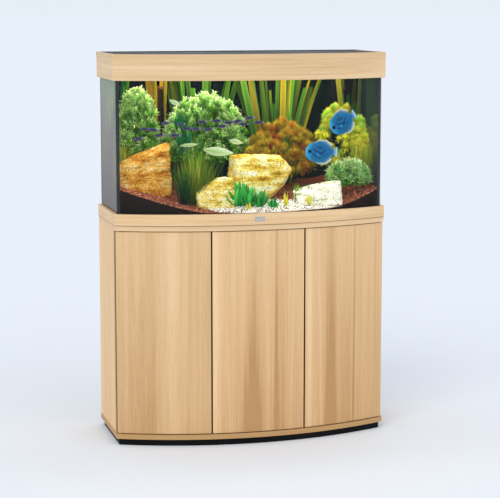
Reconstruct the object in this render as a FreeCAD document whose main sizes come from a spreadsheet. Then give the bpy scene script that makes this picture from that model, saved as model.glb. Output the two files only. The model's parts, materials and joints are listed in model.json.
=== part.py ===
"""Bow-front aquarium on a three-door cabinet, as a parametric document.

Millimetres. +X right, the bowed front faces -Y, +Z up, origin on the floor
under the middle of the bounding box. Every plan outline follows the same bow:
an arc about one axis behind the tank, set in by an offset from the widest board.
"""
import FreeCAD, Part
import math
import os

import Sketcher

Vector = FreeCAD.Vector

# ---------------------------------------------------------------- driving sizes
SIZES = {
    # overall
    "width": 920, "depth": 400, "bow_radius": 1108,
    # cabinet heights
    "plinth_height": 22, "base_board_top": 38, "top_board_bottom": 712,
    "cabinet_height": 730,
    # cabinet boards
    "panel": 16, "plinth_board": 18, "plinth_inset": 10, "side_inset": 2,
    "board_inset": 1, "back_panel_thickness": 6, "shelf_height": 372,
    "port_radius": 30, "port_x": 300, "port_height": 640,
    # doors
    "door_thickness": 16, "door_recess": 5, "door_split": 157.5, "door_gap": 5,
    "door_play": 3, "door_edge_inset": 3.5, "swing_room": 7,
    "pivot_inset": 10, "pin_radius": 4, "running_clearance": 0.05,
    "bush_radius": 7, "bush_length": 12, "pin_grip": 24,
    # latches
    "latch_width": 14, "latch_length": 60, "latch_height": 20, "latch_drop": 12,
    "strike_radius": 7, "strike_sunk": 2.5, "strike_proud": 1, "strike_gap": 1.6, "plunger_length": 44,
    "left_latch_x": -185, "middle_latch_x": 128, "right_latch_x": 185,
    # tank
    "frame_height": 36, "frame_wall": 10, "frame_ledge": 16, "ledge_thickness": 6,
    "glass": 8, "bottom_glass_thickness": 10, "glass_top": 1240, "silicone_layer": 1,
    "silicone_bead": 3,
    # hood
    "hood_bottom": 1196, "height": 1280, "hood_wall": 8, "rim_wall": 6, "lid": 6,
    "lid_drop": 2, "lid_side_gap": 1, "bar_front": 1, "bar_back": 59, "hinge_rod_radius": 1.5,
    "tube_radius": 8, "tube_length": 780,
    # filter
    "filter_left": 338, "filter_front": 112, "filter_back": 175, "filter_right": 435,
    "filter_top": 1188, "filter_wall": 3, "nozzle_radius": 9, "nozzle_height": 1150,
}

doc = FreeCAD.newDocument("BowFrontAquarium")
sheet = doc.addObject("Spreadsheet::Sheet", "Sizes")
for row, (alias, value) in enumerate(SIZES.items(), 1):
    sheet.set("A%d" % row, alias)
    sheet.set("B%d" % row, str(value))
    sheet.setAlias("B%d" % row, alias)
doc.recompute()


class Size:
    """A length that keeps its number and the sheet expression it comes from."""

    def __init__(self, value, text):
        self.value = float(value)
        self.text = text

    @staticmethod
    def of(other):
        return other if isinstance(other, Size) else Size(other, "(%r)" % float(other))

    def mix(self, other, sign, value):
        return Size(value, "(%s %s %s)" % (self.text, sign, other.text))

    def __add__(self, other):
        other = Size.of(other)
        return self.mix(other, "+", self.value + other.value)

    def __sub__(self, other):
        other = Size.of(other)
        return self.mix(other, "-", self.value - other.value)

    def __mul__(self, other):
        other = Size.of(other)
        return self.mix(other, "*", self.value * other.value)

    def __truediv__(self, other):
        other = Size.of(other)
        return self.mix(other, "/", self.value / other.value)

    def __radd__(self, other):
        return Size.of(other) + self

    def __rsub__(self, other):
        return Size.of(other) - self

    def __neg__(self):
        return Size.of(0) - self

    def root(self):
        return Size(math.sqrt(self.value), "sqrt(%s)" % self.text)


def cell(alias):
    return Size(sheet.get(alias), "Sizes.%s" % alias)


HALF_WIDTH = cell("width") / 2
BACK = cell("depth") / 2
BOW = cell("bow_radius")
BOW_AXIS_Y = BOW - BACK          # the arc's centre line stands here, at x = 0
PLINTH_TOP = cell("plinth_height")
BASE_TOP = cell("base_board_top")
TOP_BOTTOM = cell("top_board_bottom")
CABINET_TOP = cell("cabinet_height")
PANEL = cell("panel")
SIDE_FACE = HALF_WIDTH - cell("side_inset")
DOOR_FRONT = cell("door_recess")
DOOR_BACK = DOOR_FRONT + cell("door_thickness")
FRAME_WALL = cell("frame_wall")
GLASS = cell("glass")
GLASS_INNER = FRAME_WALL + GLASS
GLASS_BOTTOM = CABINET_TOP + cell("ledge_thickness")
FLOOR_GLASS_TOP = GLASS_BOTTOM + cell("bottom_glass_thickness")
GLASS_TOP = cell("glass_top")
TOP = cell("height")
LID_TOP = TOP - cell("lid_drop")
LID_BOTTOM = LID_TOP - cell("lid")


def bow_y(x, offset):
    """The front arc's y at x, for an outline set in by offset."""
    radius = BOW - offset
    return BOW_AXIS_Y - (radius * radius - x * x).root()


# ------------------------------------------------------------- drawing helpers
def origin_plane(body, role):
    return next(f for f in body.Origin.OriginFeatures if f.Role == role)


def new_body(label, base_z=0):
    body = doc.addObject("PartDesign::Body", label)
    body.Label = label
    body.setExpression(".Placement.Base.z", Size.of(base_z).text)
    return body


def add_loop(sketch, corners, arcs):
    """A closed loop. arcs: index of a side -> radius, for sides on the bow's axis."""
    first = sketch.GeometryCount
    points = [Vector(x.value, y.value, 0) for x, y in corners]
    starts = []
    for side, start in enumerate(points):
        end = points[(side + 1) % len(points)]
        if side in arcs:
            low, high = (start, end) if start.x < end.x else (end, start)
            middle_x = (low.x + high.x) / 2
            sag = math.sqrt(arcs[side].value ** 2 - middle_x ** 2)
            middle = Vector(middle_x, BOW_AXIS_Y.value - sag, 0)
            sketch.addGeometry(Part.Arc(low, middle, high), False)
            starts.append(1 if start is low else 2)
        else:
            sketch.addGeometry(Part.LineSegment(start, end), False)
            starts.append(1)
    count = len(points)
    for side in range(count):
        following = (side + 1) % count
        sketch.addConstraint(Sketcher.Constraint(
            "Coincident", first + side, 3 - starts[side], first + following, starts[following]))
    for side, (x, y) in enumerate(corners):
        for kind, size in (("DistanceX", x), ("DistanceY", y)):
            index = sketch.addConstraint(
                Sketcher.Constraint(kind, first + side, starts[side], size.value))
            sketch.setExpression("Constraints[%d]" % index, size.text)
        if side in arcs:
            index = sketch.addConstraint(
                Sketcher.Constraint("Radius", first + side, arcs[side].value))
            sketch.setExpression("Constraints[%d]" % index, arcs[side].text)


def add_circle(sketch, x, y, radius):
    circle = sketch.addGeometry(
        Part.Circle(Vector(x.value, y.value, 0), Vector(0, 0, 1), radius.value), False)
    for kind, size in (("DistanceX", x), ("DistanceY", y)):
        index = sketch.addConstraint(Sketcher.Constraint(kind, circle, 3, size.value))
        sketch.setExpression("Constraints[%d]" % index, size.text)
    index = sketch.addConstraint(Sketcher.Constraint("Radius", circle, radius.value))
    sketch.setExpression("Constraints[%d]" % index, radius.text)


def new_sketch(body, name, height=0):
    """A plan sketch on the body's own XY plane, raised by height."""
    sketch = body.newObject("Sketcher::SketchObject", "%s_%s" % (body.Label, name))
    sketch.AttachmentSupport = [(origin_plane(body, "XY_Plane"), "")]
    sketch.MapMode = "FlatFace"
    sketch.setExpression(".AttachmentOffset.Base.z", Size.of(height).text)
    return sketch


def pad(body, sketch, length):
    feature = body.newObject("PartDesign::Pad", sketch.Label + "_pad")
    feature.Profile = sketch
    feature.setExpression("Length", Size.of(length).text)
    sketch.Visibility = False
    return feature


def bow_corners(offset, x_left, x_right, y_back):
    """Corners of an outline with a bowed front; side 1 is the arc."""
    offset = Size.of(offset)
    return [(x_left, y_back), (x_left, bow_y(x_left, offset)),
            (x_right, bow_y(x_right, offset)), (x_right, y_back)]


def full_outline(sketch, offset):
    offset = Size.of(offset)
    half = HALF_WIDTH - offset
    add_loop(sketch, bow_corners(offset, -half, half, BACK - offset), {1: BOW - offset})


def bow_board(label, offset, bottom, height):
    body = new_body(label, bottom)
    sketch = new_sketch(body, "plan")
    full_outline(sketch, offset)
    pad(body, sketch, height)
    return body


def bow_ring(body, name, outer, inner, rise, height):
    """A ring that follows the outline, from offset outer in to offset inner."""
    sketch = new_sketch(body, name, rise)
    full_outline(sketch, outer)
    full_outline(sketch, inner)
    pad(body, sketch, height)


def curved_slab(label, front, back, x_left, x_right, bottom, height):
    """A slab between two bow arcs, such as a door or the front pane."""
    front, back = Size.of(front), Size.of(back)
    corners = [(x_left, bow_y(x_left, back)), (x_left, bow_y(x_left, front)),
               (x_right, bow_y(x_right, front)), (x_right, bow_y(x_right, back))]
    body = new_body(label, bottom)
    sketch = new_sketch(body, "plan")
    add_loop(sketch, corners, {1: BOW - front, 3: BOW - back})
    pad(body, sketch, height)
    return body


def box(label, low, high):
    """A Part::Box from its low to its high corner, bound to the sheet."""
    item = doc.addObject("Part::Box", label)
    item.Label = label
    for side, axis, start, end in zip(("Length", "Width", "Height"), "xyz", low, high):
        item.setExpression(side, (Size.of(end) - start).text)
        item.setExpression(".Placement.Base.%s" % axis, Size.of(start).text)
    return item


def rod(label, start, axis, length, radius):
    """A Part::Cylinder from start along axis x, y or z."""
    item = doc.addObject("Part::Cylinder", label)
    item.Label = label
    turns = {"x": (Vector(0, 1, 0), 90), "y": (Vector(1, 0, 0), -90), "z": (Vector(0, 0, 1), 0)}
    item.Placement = FreeCAD.Placement(Vector(0, 0, 0), FreeCAD.Rotation(*turns[axis]))
    item.setExpression("Height", Size.of(length).text)
    item.setExpression("Radius", Size.of(radius).text)
    for name, place in zip("xyz", start):
        item.setExpression(".Placement.Base.%s" % name, Size.of(place).text)
    return item


def group(label, items):
    """Separate solids that share one node, or one tool."""
    item = doc.addObject("Part::Compound", label)
    item.Label = label
    item.Links = items
    return item


def fuse(label, items):
    item = doc.addObject("Part::MultiFuse", label)
    item.Label = label
    item.Shapes = items
    return item


def cut(label, base, tool):
    """base less tool; base takes a working name and the result the real one."""
    base.Label = label + "_blank"
    item = doc.addObject("Part::Cut", label + "_cut")
    item.Base = base
    item.Tool = tool
    item.Label = label
    return item


def shaped(label, shape):
    item = doc.addObject("Part::Feature", label)
    item.Label = label
    item.Shape = shape
    return item


# --------------------------------------------------------------------- cabinet
DOORS = {
    # name: (left edge, right edge, side of its pivot, latch x)
    "left": (-(HALF_WIDTH - cell("door_edge_inset")),
             -(cell("door_split") + cell("door_gap") / 2), -1, cell("left_latch_x")),
    "middle": (-(cell("door_split") - cell("door_gap") / 2),
               cell("door_split") - cell("door_gap") / 2, -1, cell("middle_latch_x")),
    "right": (cell("door_split") + cell("door_gap") / 2,
              HALF_WIDTH - cell("door_edge_inset"), 1, cell("right_latch_x")),
}


def pivot_of(name):
    """Where a door's pivot axis stands: mid-thickness, near its hinge edge."""
    left, right, side, _ = DOORS[name]
    x = left + cell("pivot_inset") if side < 0 else right - cell("pivot_inset")
    y = (bow_y(x, DOOR_FRONT) + bow_y(x, DOOR_BACK)) / 2
    return x, y


def plinth():
    body = new_body("plinth")
    inset = cell("plinth_inset")
    bow_ring(body, "plan", inset, inset + cell("plinth_board"), 0, PLINTH_TOP)
    return body


def drilled_board(label, offset, bottom, height, bush_bottom):
    """A cabinet board with a blind hole for each door's bush."""
    body = bow_board(label, offset, bottom, height)
    holes = []
    for name in DOORS:
        x, y = pivot_of(name)
        holes.append(rod("%s_hole_%s" % (label, name), (x, y, bush_bottom), "z",
                         cell("bush_length"), cell("bush_radius")))
    return cut(label, body, group(label + "_holes", holes))


def base_board():
    return drilled_board("base_board", 0, PLINTH_TOP, BASE_TOP - PLINTH_TOP,
                         BASE_TOP - cell("bush_length"))


def top_board():
    return drilled_board("top_board", cell("board_inset"), TOP_BOTTOM,
                         CABINET_TOP - TOP_BOTTOM, TOP_BOTTOM)


def side_panel(side):
    label = "left_side_panel" if side < 0 else "right_side_panel"
    front = bow_y(SIDE_FACE, DOOR_BACK) + cell("swing_room")
    left, right = (-SIDE_FACE, PANEL - SIDE_FACE) if side < 0 else (SIDE_FACE - PANEL, SIDE_FACE)
    return box(label, (left, front, BASE_TOP), (right, BACK, TOP_BOTTOM))


def partition(side):
    label = "left_partition" if side < 0 else "right_partition"
    inner = cell("door_split") - PANEL / 2
    outer = cell("door_split") + PANEL / 2
    left, right = (-outer, -inner) if side < 0 else (inner, outer)
    front = bow_y(inner, DOOR_BACK) + cell("swing_room")
    return box(label, (left, front, BASE_TOP),
               (right, BACK - cell("back_panel_thickness"), TOP_BOTTOM))


def back_panel():
    inner = SIDE_FACE - PANEL
    sheet_board = box("back_panel_board", (-inner, BACK - cell("back_panel_thickness"), BASE_TOP),
                      (inner, BACK, TOP_BOTTOM))
    ports = [rod("back_port_%s" % name, (cell("port_x") * side, BACK - 20, cell("port_height")),
                 "y", 40, cell("port_radius")) for name, side in (("left", -1), ("right", 1))]
    return cut("back_panel", sheet_board, group("back_ports", ports))


def shelves():
    """One shelf in each outer compartment, clear of the curved doors."""
    inner = cell("door_split") + PANEL / 2 + 1
    outer = SIDE_FACE - PANEL - 1
    front = bow_y(outer, DOOR_BACK) + 20
    back = BACK - cell("back_panel_thickness") - 2
    low, high = cell("shelf_height"), cell("shelf_height") + PANEL
    return group("shelves", [
        box("left_shelf", (-outer, front, low), (-inner, back, high)),
        box("right_shelf", (inner, front, low), (outer, back, high))])


def shelf_pins():
    """Four pins under each shelf, pressed into the panels."""
    pin_radius, grip, bearing = 2.5, 8, 9
    outer = SIDE_FACE - PANEL
    inner = cell("door_split") + PANEL / 2
    pins = []
    for side_name, side in (("left", -1), ("right", 1)):
        for row, y in (("front", -30), ("back", 150)):
            height = cell("shelf_height") - pin_radius
            for wall, start in (("outer", outer - bearing), ("inner", inner - grip)):
                x = start if side > 0 else -(start + grip + bearing)
                pins.append(rod("pin_%s_%s_%s" % (side_name, row, wall), (x, y, height),
                                "x", grip + bearing, pin_radius))
    return group("shelf_pins", pins)


def cabinet_screws():
    """Countersunk screws up through the base board into the upright panels."""
    head_radius, head, shank_radius, shank = 5, 3, 2.5, 56
    screws = []
    uprights = (SIDE_FACE - PANEL / 2, cell("door_split"))
    for index, upright in enumerate(uprights):
        for side in (-1, 1):
            for row, y in (("front", -40), ("back", 160)):
                name = "screw_%d_%s_%s" % (index, "left" if side < 0 else "right", row)
                x = upright * side
                screws.append(fuse(name, [
                    rod(name + "_head", (x, y, PLINTH_TOP), "z", head, head_radius),
                    rod(name + "_shank", (x, y, PLINTH_TOP + head), "z", shank, shank_radius)]))
    return group("cabinet_screws", screws)


def pivot_bushes():
    """Bushes in the base and top boards that the door pins turn in."""
    bushes = []
    bore = cell("pin_radius") + cell("running_clearance")
    for name in DOORS:
        x, y = pivot_of(name)
        for end, bottom in (("low", BASE_TOP - cell("bush_length")), ("high", TOP_BOTTOM)):
            label = "bush_%s_%s" % (name, end)
            outside = rod(label + "_out", (x, y, bottom), "z", cell("bush_length"),
                          cell("bush_radius"))
            bushes.append(cut(label, outside, rod(label + "_bore", (x, y, bottom - 1), "z",
                                                  cell("bush_length") + 2, bore)))
    return group("pivot_bushes", bushes)


def latch_place(name):
    """Latch axis: x, the door's back face there, and the axis height."""
    x = DOORS[name][3]
    return x, bow_y(x, DOOR_BACK), TOP_BOTTOM - cell("latch_drop")


def latch_housings():
    """Push latches under the top board, each with a blind bore for its plunger."""
    housings = []
    for name in DOORS:
        x, door_y, height = latch_place(name)
        half = cell("latch_width") / 2
        front = door_y + 7
        label = "latch_%s" % name
        casing = box(label + "_casing", (x - half, front, TOP_BOTTOM - cell("latch_height")),
                     (x + half, front + cell("latch_length"), TOP_BOTTOM))
        bore = rod(label + "_bore", (x, front - 1, height), "y", cell("latch_length") - 8,
                   cell("pin_radius") + cell("running_clearance"))
        housings.append(cut(label, casing, bore))
    return group("latch_housings", housings)


def latch_plunger(name):
    """A stepped plunger that stands just clear of the closed door's strike plate."""
    x, door_y, height = latch_place(name)
    nose = door_y + cell("strike_proud") + cell("strike_gap")
    shaft = rod("%s_plunger_shaft" % name, (x, nose + 2, height), "y",
                cell("plunger_length") - 2, cell("pin_radius"))
    tip = rod("%s_plunger_tip" % name, (x, nose, height), "y", 2, cell("pin_radius") - 1)
    return fuse("%s_latch_plunger" % name, [shaft, tip])


def pin_rods(name, prefix):
    """The two pivot pins of a door, each gripped by the door's edge."""
    x, y = pivot_of(name)
    reach = cell("bush_length") - 2 + cell("door_play")
    length = cell("pin_grip") + reach
    low = BASE_TOP + cell("door_play") - reach
    high = TOP_BOTTOM - cell("door_play") - cell("pin_grip")
    return [rod("%s_%s_low_pin" % (prefix, name), (x, y, low), "z", length, cell("pin_radius")),
            rod("%s_%s_high_pin" % (prefix, name), (x, y, high), "z", length, cell("pin_radius"))]


def strike(name, prefix):
    x, door_y, height = latch_place(name)
    return rod("%s_%s_strike" % (prefix, name), (x, door_y - cell("strike_sunk"), height), "y",
               cell("strike_sunk") + cell("strike_proud"), cell("strike_radius"))


def door(name):
    """A curved door leaf, drilled for its pins and its strike plate."""
    left, right = DOORS[name][:2]
    bottom = BASE_TOP + cell("door_play")
    leaf = curved_slab("%s_door" % name, DOOR_FRONT, DOOR_BACK, left, right, bottom,
                       TOP_BOTTOM - cell("door_play") - bottom)
    x, door_y, height = latch_place(name)
    seat = rod("seat_%s" % name, (x, door_y - cell("strike_sunk"), height), "y", 12,
               cell("strike_radius"))
    tools = group("%s_door_drilling" % name, pin_rods(name, "drill") + [seat])
    return cut("%s_door" % name, leaf, tools)


def door_fittings(name):
    return group("%s_door_fittings" % name, pin_rods(name, "fit") + [strike(name, "fit")])


# ------------------------------------------------------------------------ tank
def base_frame():
    """Wood-decor frame round the foot of the tank, with a ledge under the glass."""
    body = new_body("base_frame", CABINET_TOP)
    bow_ring(body, "ledge", 0, FRAME_WALL + cell("frame_ledge"), 0, cell("ledge_thickness"))
    bow_ring(body, "wall", 0, FRAME_WALL, 0, cell("frame_height"))
    seat = badge_slab("badge_seat", -1, BADGE_BACK, 0)
    return cut("base_frame", body, seat)


BADGE_BACK = 1.0


def badge_slab(label, front, back, inset):
    """A slab of the badge's outline, or a little inside it."""
    half = Size.of(17 - inset)
    return curved_slab(label, front, back, -half, half, CABINET_TOP + 10 + inset, 16 - 2 * inset)


def badge_plate():
    """A blank plate in a shallow seat in the frame's front."""
    return badge_slab("badge_plate", 0.1, BADGE_BACK, 0.3)


def bottom_glass():
    return bow_board("bottom_glass", GLASS_INNER + cell("silicone_layer"), GLASS_BOTTOM,
                     cell("bottom_glass_thickness"))


def front_glass():
    half = HALF_WIDTH - FRAME_WALL
    return curved_slab("front_glass", FRAME_WALL, GLASS_INNER, -half, half, GLASS_BOTTOM,
                       GLASS_TOP - GLASS_BOTTOM)


SIDE_GLASS_OUT = HALF_WIDTH - FRAME_WALL
SIDE_GLASS_IN = SIDE_GLASS_OUT - GLASS
SIDE_GLASS_FRONT = bow_y(SIDE_GLASS_OUT, GLASS_INNER) + cell("silicone_layer")
BACK_GLASS_IN = BACK - GLASS_INNER
SIDE_GLASS_BACK = BACK_GLASS_IN - cell("silicone_layer")


def side_glass(side):
    label = "left_glass" if side < 0 else "right_glass"
    left, right = (-SIDE_GLASS_OUT, -SIDE_GLASS_IN) if side < 0 else (SIDE_GLASS_IN, SIDE_GLASS_OUT)
    return box(label, (left, SIDE_GLASS_FRONT, GLASS_BOTTOM), (right, SIDE_GLASS_BACK, GLASS_TOP))


def back_glass():
    return box("back_glass", (-SIDE_GLASS_OUT, BACK_GLASS_IN, GLASS_BOTTOM),
               (SIDE_GLASS_OUT, BACK - FRAME_WALL, GLASS_TOP))


def background_film():
    return box("background_film", (-SIDE_GLASS_OUT, BACK - FRAME_WALL, GLASS_BOTTOM + 30),
               (SIDE_GLASS_OUT, BACK - FRAME_WALL + 1, cell("hood_bottom") - 1))


def silicone_seams():
    """Black seams: a layer behind each pane's edge and a bead in each corner."""
    bead = cell("silicone_bead")
    height = GLASS_TOP - FLOOR_GLASS_TOP
    seams = []
    for name, side in (("left", -1), ("right", 1)):
        outer, inner = SIDE_GLASS_OUT * side, SIDE_GLASS_IN * side
        bead_x = (SIDE_GLASS_IN - bead) * side
        front = new_body("seam_front_%s" % name, FLOOR_GLASS_TOP)
        sketch = new_sketch(front, "plan")
        add_loop(sketch, [(outer, SIDE_GLASS_FRONT), (inner, SIDE_GLASS_FRONT),
                          (inner, SIDE_GLASS_FRONT + bead), (bead_x, bow_y(bead_x, GLASS_INNER)),
                          (outer, bow_y(outer, GLASS_INNER))], {3: BOW - GLASS_INNER})
        pad(front, sketch, height)
        back = new_body("seam_back_%s" % name, FLOOR_GLASS_TOP)
        sketch = new_sketch(back, "plan")
        add_loop(sketch, [(outer, SIDE_GLASS_BACK), (inner, SIDE_GLASS_BACK),
                          (inner, SIDE_GLASS_BACK - bead), (bead_x, BACK_GLASS_IN),
                          (outer, BACK_GLASS_IN)], {})
        pad(back, sketch, height)
        seams += [front, back]
    floor_seam = new_body("seam_floor", GLASS_BOTTOM)
    layer = cell("silicone_layer")
    half = HALF_WIDTH - GLASS_INNER - layer * 0.2
    inner_half = HALF_WIDTH - GLASS_INNER - layer
    sketch = new_sketch(floor_seam, "plan")
    front_offset = GLASS_INNER + layer * 0.2
    add_loop(sketch, bow_corners(front_offset, -half, half, BACK_GLASS_IN - layer * 0.2),
             {1: BOW - front_offset})
    add_loop(sketch, bow_corners(GLASS_INNER + layer, -inner_half, inner_half,
                                 BACK_GLASS_IN - layer), {1: BOW - GLASS_INNER - layer})
    pad(floor_seam, sketch, cell("bottom_glass_thickness"))
    return group("silicone_seams", seams + [floor_seam])


# ------------------------------------------------------------------------ hood
RIM_OUT = cell("hood_wall")
RIM_IN = RIM_OUT + cell("rim_wall")
HINGE_Z = LID_BOTTOM + cell("lid") / 2
HINGE_FRONT_Y = cell("bar_front") - 1 - cell("lid") / 2
HINGE_REAR_Y = cell("bar_back") + 1 + cell("lid") / 2
LID_OFFSET = RIM_IN + cell("lid_side_gap")


def hood_frame():
    body = new_body("hood_frame", cell("hood_bottom"))
    bow_ring(body, "plan", 0, RIM_OUT, 0, TOP - cell("hood_bottom"))
    return body


def hood_inner_frame():
    """Black inner frame: it stands on the glass and carries the lids and the bar."""
    body = new_body("hood_inner_frame", GLASS_TOP)
    flange, ledge = 24, 6
    bow_ring(body, "flange", RIM_OUT, flange, 0, ledge)
    bow_ring(body, "rim", RIM_OUT, RIM_IN, 0, LID_TOP - GLASS_TOP)
    bow_ring(body, "ledge", RIM_IN, RIM_IN + ledge, LID_BOTTOM - ledge - GLASS_TOP, ledge)
    return body


def lid_hinge_rods():
    half = HALF_WIDTH - RIM_IN + cell("rim_wall") / 2
    return group("lid_hinge_rods", [
        rod("front_hinge_rod", (-half, HINGE_FRONT_Y, HINGE_Z), "x", half * 2,
            cell("hinge_rod_radius")),
        rod("rear_hinge_rod", (-half, HINGE_REAR_Y, HINGE_Z), "x", half * 2,
            cell("hinge_rod_radius"))])


def light_bar():
    """A hollow bar from end to end under the middle of the hood."""
    half = HALF_WIDTH - RIM_IN - 7
    low, high = GLASS_TOP + 6, LID_TOP
    front, back, wall = cell("bar_front"), cell("bar_back"), 3
    casing = box("light_bar_casing", (-half, front, low), (half, back, high))
    hollow = box("light_bar_hollow", (wall - half, front + wall, low + wall),
                 (half - wall, back - wall, high - wall))
    return cut("light_bar", casing, hollow)


def led_tubes():
    radius, length = cell("tube_radius"), cell("tube_length")
    height = GLASS_TOP + 6 - radius
    return group("led_tubes", [
        rod("led_tube_%s" % name, (-(length / 2), y, height), "x", length, radius)
        for name, y in (("front", 16), ("rear", 44))])


def lid(label, x_half, hinge_y, offset, back_y):
    """A flap with a full-round hinge edge, a rod bore and a finger recess."""
    body = new_body(label, LID_BOTTOM)
    sketch = new_sketch(body, "plan")
    if back_y is None:
        add_loop(sketch, bow_corners(offset, -x_half, x_half, hinge_y), {1: BOW - offset})
        recess_y = bow_y(Size.of(0), offset) + 14
    else:
        add_loop(sketch, [(-x_half, hinge_y), (x_half, hinge_y), (x_half, back_y),
                          (-x_half, back_y)], {})
        recess_y = back_y - 34
    pad(body, sketch, cell("lid"))
    edge = rod(label + "_edge", (-x_half, hinge_y, HINGE_Z), "x", x_half * 2, cell("lid") / 2)
    bore = rod(label + "_bore", (-x_half - 1, hinge_y, HINGE_Z), "x", x_half * 2 + 2,
               cell("hinge_rod_radius") + cell("running_clearance"))
    recess = box(label + "_recess", (-45, recess_y, LID_TOP - 2.5), (45, recess_y + 20, LID_TOP + 1))
    body.Label = label + "_plate"
    return cut(label, fuse(label + "_leaf", [body, edge]), group(label + "_tools", [bore, recess]))


def front_lid():
    return lid("front_lid", HALF_WIDTH - LID_OFFSET, HINGE_FRONT_Y, LID_OFFSET, None)


def rear_lid():
    return lid("rear_lid", HALF_WIDTH - LID_OFFSET, HINGE_REAR_Y, LID_OFFSET, BACK - LID_OFFSET)


# ---------------------------------------------------------------------- filter
FILTER_LOW = (cell("filter_left"), cell("filter_front"), FLOOR_GLASS_TOP)
FILTER_HIGH = (cell("filter_right"), cell("filter_back"), cell("filter_top"))
FILTER_X = (cell("filter_left") + cell("filter_right")) / 2


def filter_housing():
    """An open-topped box in the back corner, slotted low and bored for its outlet."""
    wall = cell("filter_wall")
    casing = box("filter_casing", FILTER_LOW, FILTER_HIGH)
    hollow = box("filter_hollow", [low + wall for low in FILTER_LOW],
                 [FILTER_HIGH[0] - wall, FILTER_HIGH[1] - wall, FILTER_HIGH[2] + 10])
    slots = [box("filter_slot_%d" % row,
                 (cell("filter_left") + 14, cell("filter_front") - 5, FLOOR_GLASS_TOP + 200 + 12 * row),
                 (cell("filter_right") - 14, cell("filter_front") + 8, FLOOR_GLASS_TOP + 204 + 12 * row))
             for row in range(6)]
    outlet = rod("filter_outlet", (FILTER_X, cell("filter_front") - 5, cell("nozzle_height")), "y",
                 20, cell("nozzle_radius") + cell("running_clearance"))
    return cut("filter_housing", casing, group("filter_openings", [hollow, outlet] + slots))


def filter_sponges():
    wall = cell("filter_wall") + 1
    sponges = []
    bottom, thickness = FLOOR_GLASS_TOP + cell("filter_wall") + 1, 84
    for index in range(3):
        low = bottom + (thickness + 2) * index
        sponges.append(box("filter_sponge_%d" % index,
                           (cell("filter_left") + wall, cell("filter_front") + wall, low),
                           (cell("filter_right") - wall - 26, cell("filter_back") - wall,
                            low + thickness)))
    return group("filter_sponges", sponges)


def filter_pump():
    """A pump head above the sponges, open to the outlet nozzle."""
    low, high = cell("nozzle_height") - 70, cell("nozzle_height") + 24
    wall = cell("filter_wall") + 12
    return box("filter_pump", (cell("filter_left") + 8, cell("filter_front") + wall, low),
               (cell("filter_right") - 34, cell("filter_back") - 8, high))


def pump_nozzle():
    """A swivelling duckbill in the filter's front wall."""
    radius, height = cell("nozzle_radius"), cell("nozzle_height")
    front = cell("filter_front")
    spout = Part.makeCone(radius.value - 1, radius.value - 5, 34, Vector(0, 0, 0), Vector(-0.45, -1, -0.25))
    spout = spout.fuse(Part.makeSphere(radius.value - 1, Vector(0, 0, 0)))
    bent = shaped("nozzle_spout", spout)
    bent.setExpression(".Placement.Base.x", FILTER_X.text)
    bent.setExpression(".Placement.Base.y", (front - 9).text)
    bent.setExpression(".Placement.Base.z", height.text)
    collar = rod("nozzle_collar", (FILTER_X, front - 9, height), "y", 20, radius)
    return fuse("pump_nozzle", [collar, bent])


def heater_tube():
    x = cell("filter_right") - 16
    y = (cell("filter_front") + cell("filter_back")) / 2
    low = FLOOR_GLASS_TOP + 60
    return fuse("heater_tube", [rod("heater_glass", (x, y, low), "z", 290, 9),
                                rod("heater_cap", (x, y, low + 290), "z", 34, 11)])


# ---------------------------------------------------- gravel, rocks and planting
def gravel_height(x, y):
    """The bed climbs to the back and banks up against both sides."""
    bed = 767 + 0.19 * (y + 180)
    left = max(0.0, (-170 - x) / 275) ** 1.25 * 62
    right = max(0.0, (x - 270) / 175) ** 1.4 * 42
    return bed + left + right


def tank_inside(clearance, low, high):
    """The space inside the glass, as a plain solid."""
    offset = GLASS_INNER.value + clearance
    half = HALF_WIDTH.value - offset
    back = BACK.value - offset
    radius = BOW.value - offset
    side_y = BOW_AXIS_Y.value - math.sqrt(radius ** 2 - half ** 2)
    front_y = BOW_AXIS_Y.value - radius
    left, right = Vector(-half, side_y, low), Vector(half, side_y, low)
    edges = [Part.Arc(left, Vector(0, front_y, low), right).toShape(),
             Part.LineSegment(right, Vector(half, back, low)).toShape(),
             Part.LineSegment(Vector(half, back, low), Vector(-half, back, low)).toShape(),
             Part.LineSegment(Vector(-half, back, low), left).toShape()]
    return Part.Face(Part.Wire(edges)).extrude(Vector(0, 0, high - low))


def bed_slice(y, sink):
    """The bed's cross-section at y, as a closed wire."""
    low = FLOOR_GLASS_TOP.value + 0.3
    stations = [-440, -400, -340, -280, -220, -170, 270, 320, 370, 415, 440]
    points = [Vector(x, y, gravel_height(x, y) - sink) for x in stations]
    corners = [Vector(stations[0], y, low)] + points + [Vector(stations[-1], y, low)]
    return Part.makePolygon(corners + corners[:1])


def bed_solid(sink):
    slab = Part.makeLoft([bed_slice(-190, sink), bed_slice(185, sink)], True, True)
    bead = SIZES["silicone_bead"] + 0.5
    return slab.common(tank_inside(bead, FLOOR_GLASS_TOP.value, 960))


def stone(centre, radii, low, high, lean=(0, 0), top=0.5, seed=0, sides=9, wobble=0.12):
    """An irregular closed solid: rings of corners skinned with flat faces."""
    rings = []
    levels = ((0.0, 0.86), (0.3, 1.0), (0.7, (1 + top) / 2 * 1.05), (1.0, top))
    for rise, spread in levels:
        corners = []
        for index in range(sides):
            angle = 2 * math.pi * index / sides
            rough = 1 + wobble * math.sin(2.3 * angle * (1 + seed % 3) + seed + 2 * rise)
            corners.append(Vector(
                centre[0] + lean[0] * rise + radii[0] * spread * rough * math.cos(angle),
                centre[1] + lean[1] * rise + radii[1] * spread * rough * math.sin(angle),
                low + (high - low) * rise))
        rings.append(Part.makePolygon(corners + [corners[0]]))
    return Part.makeLoft(rings, True, True)


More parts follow.
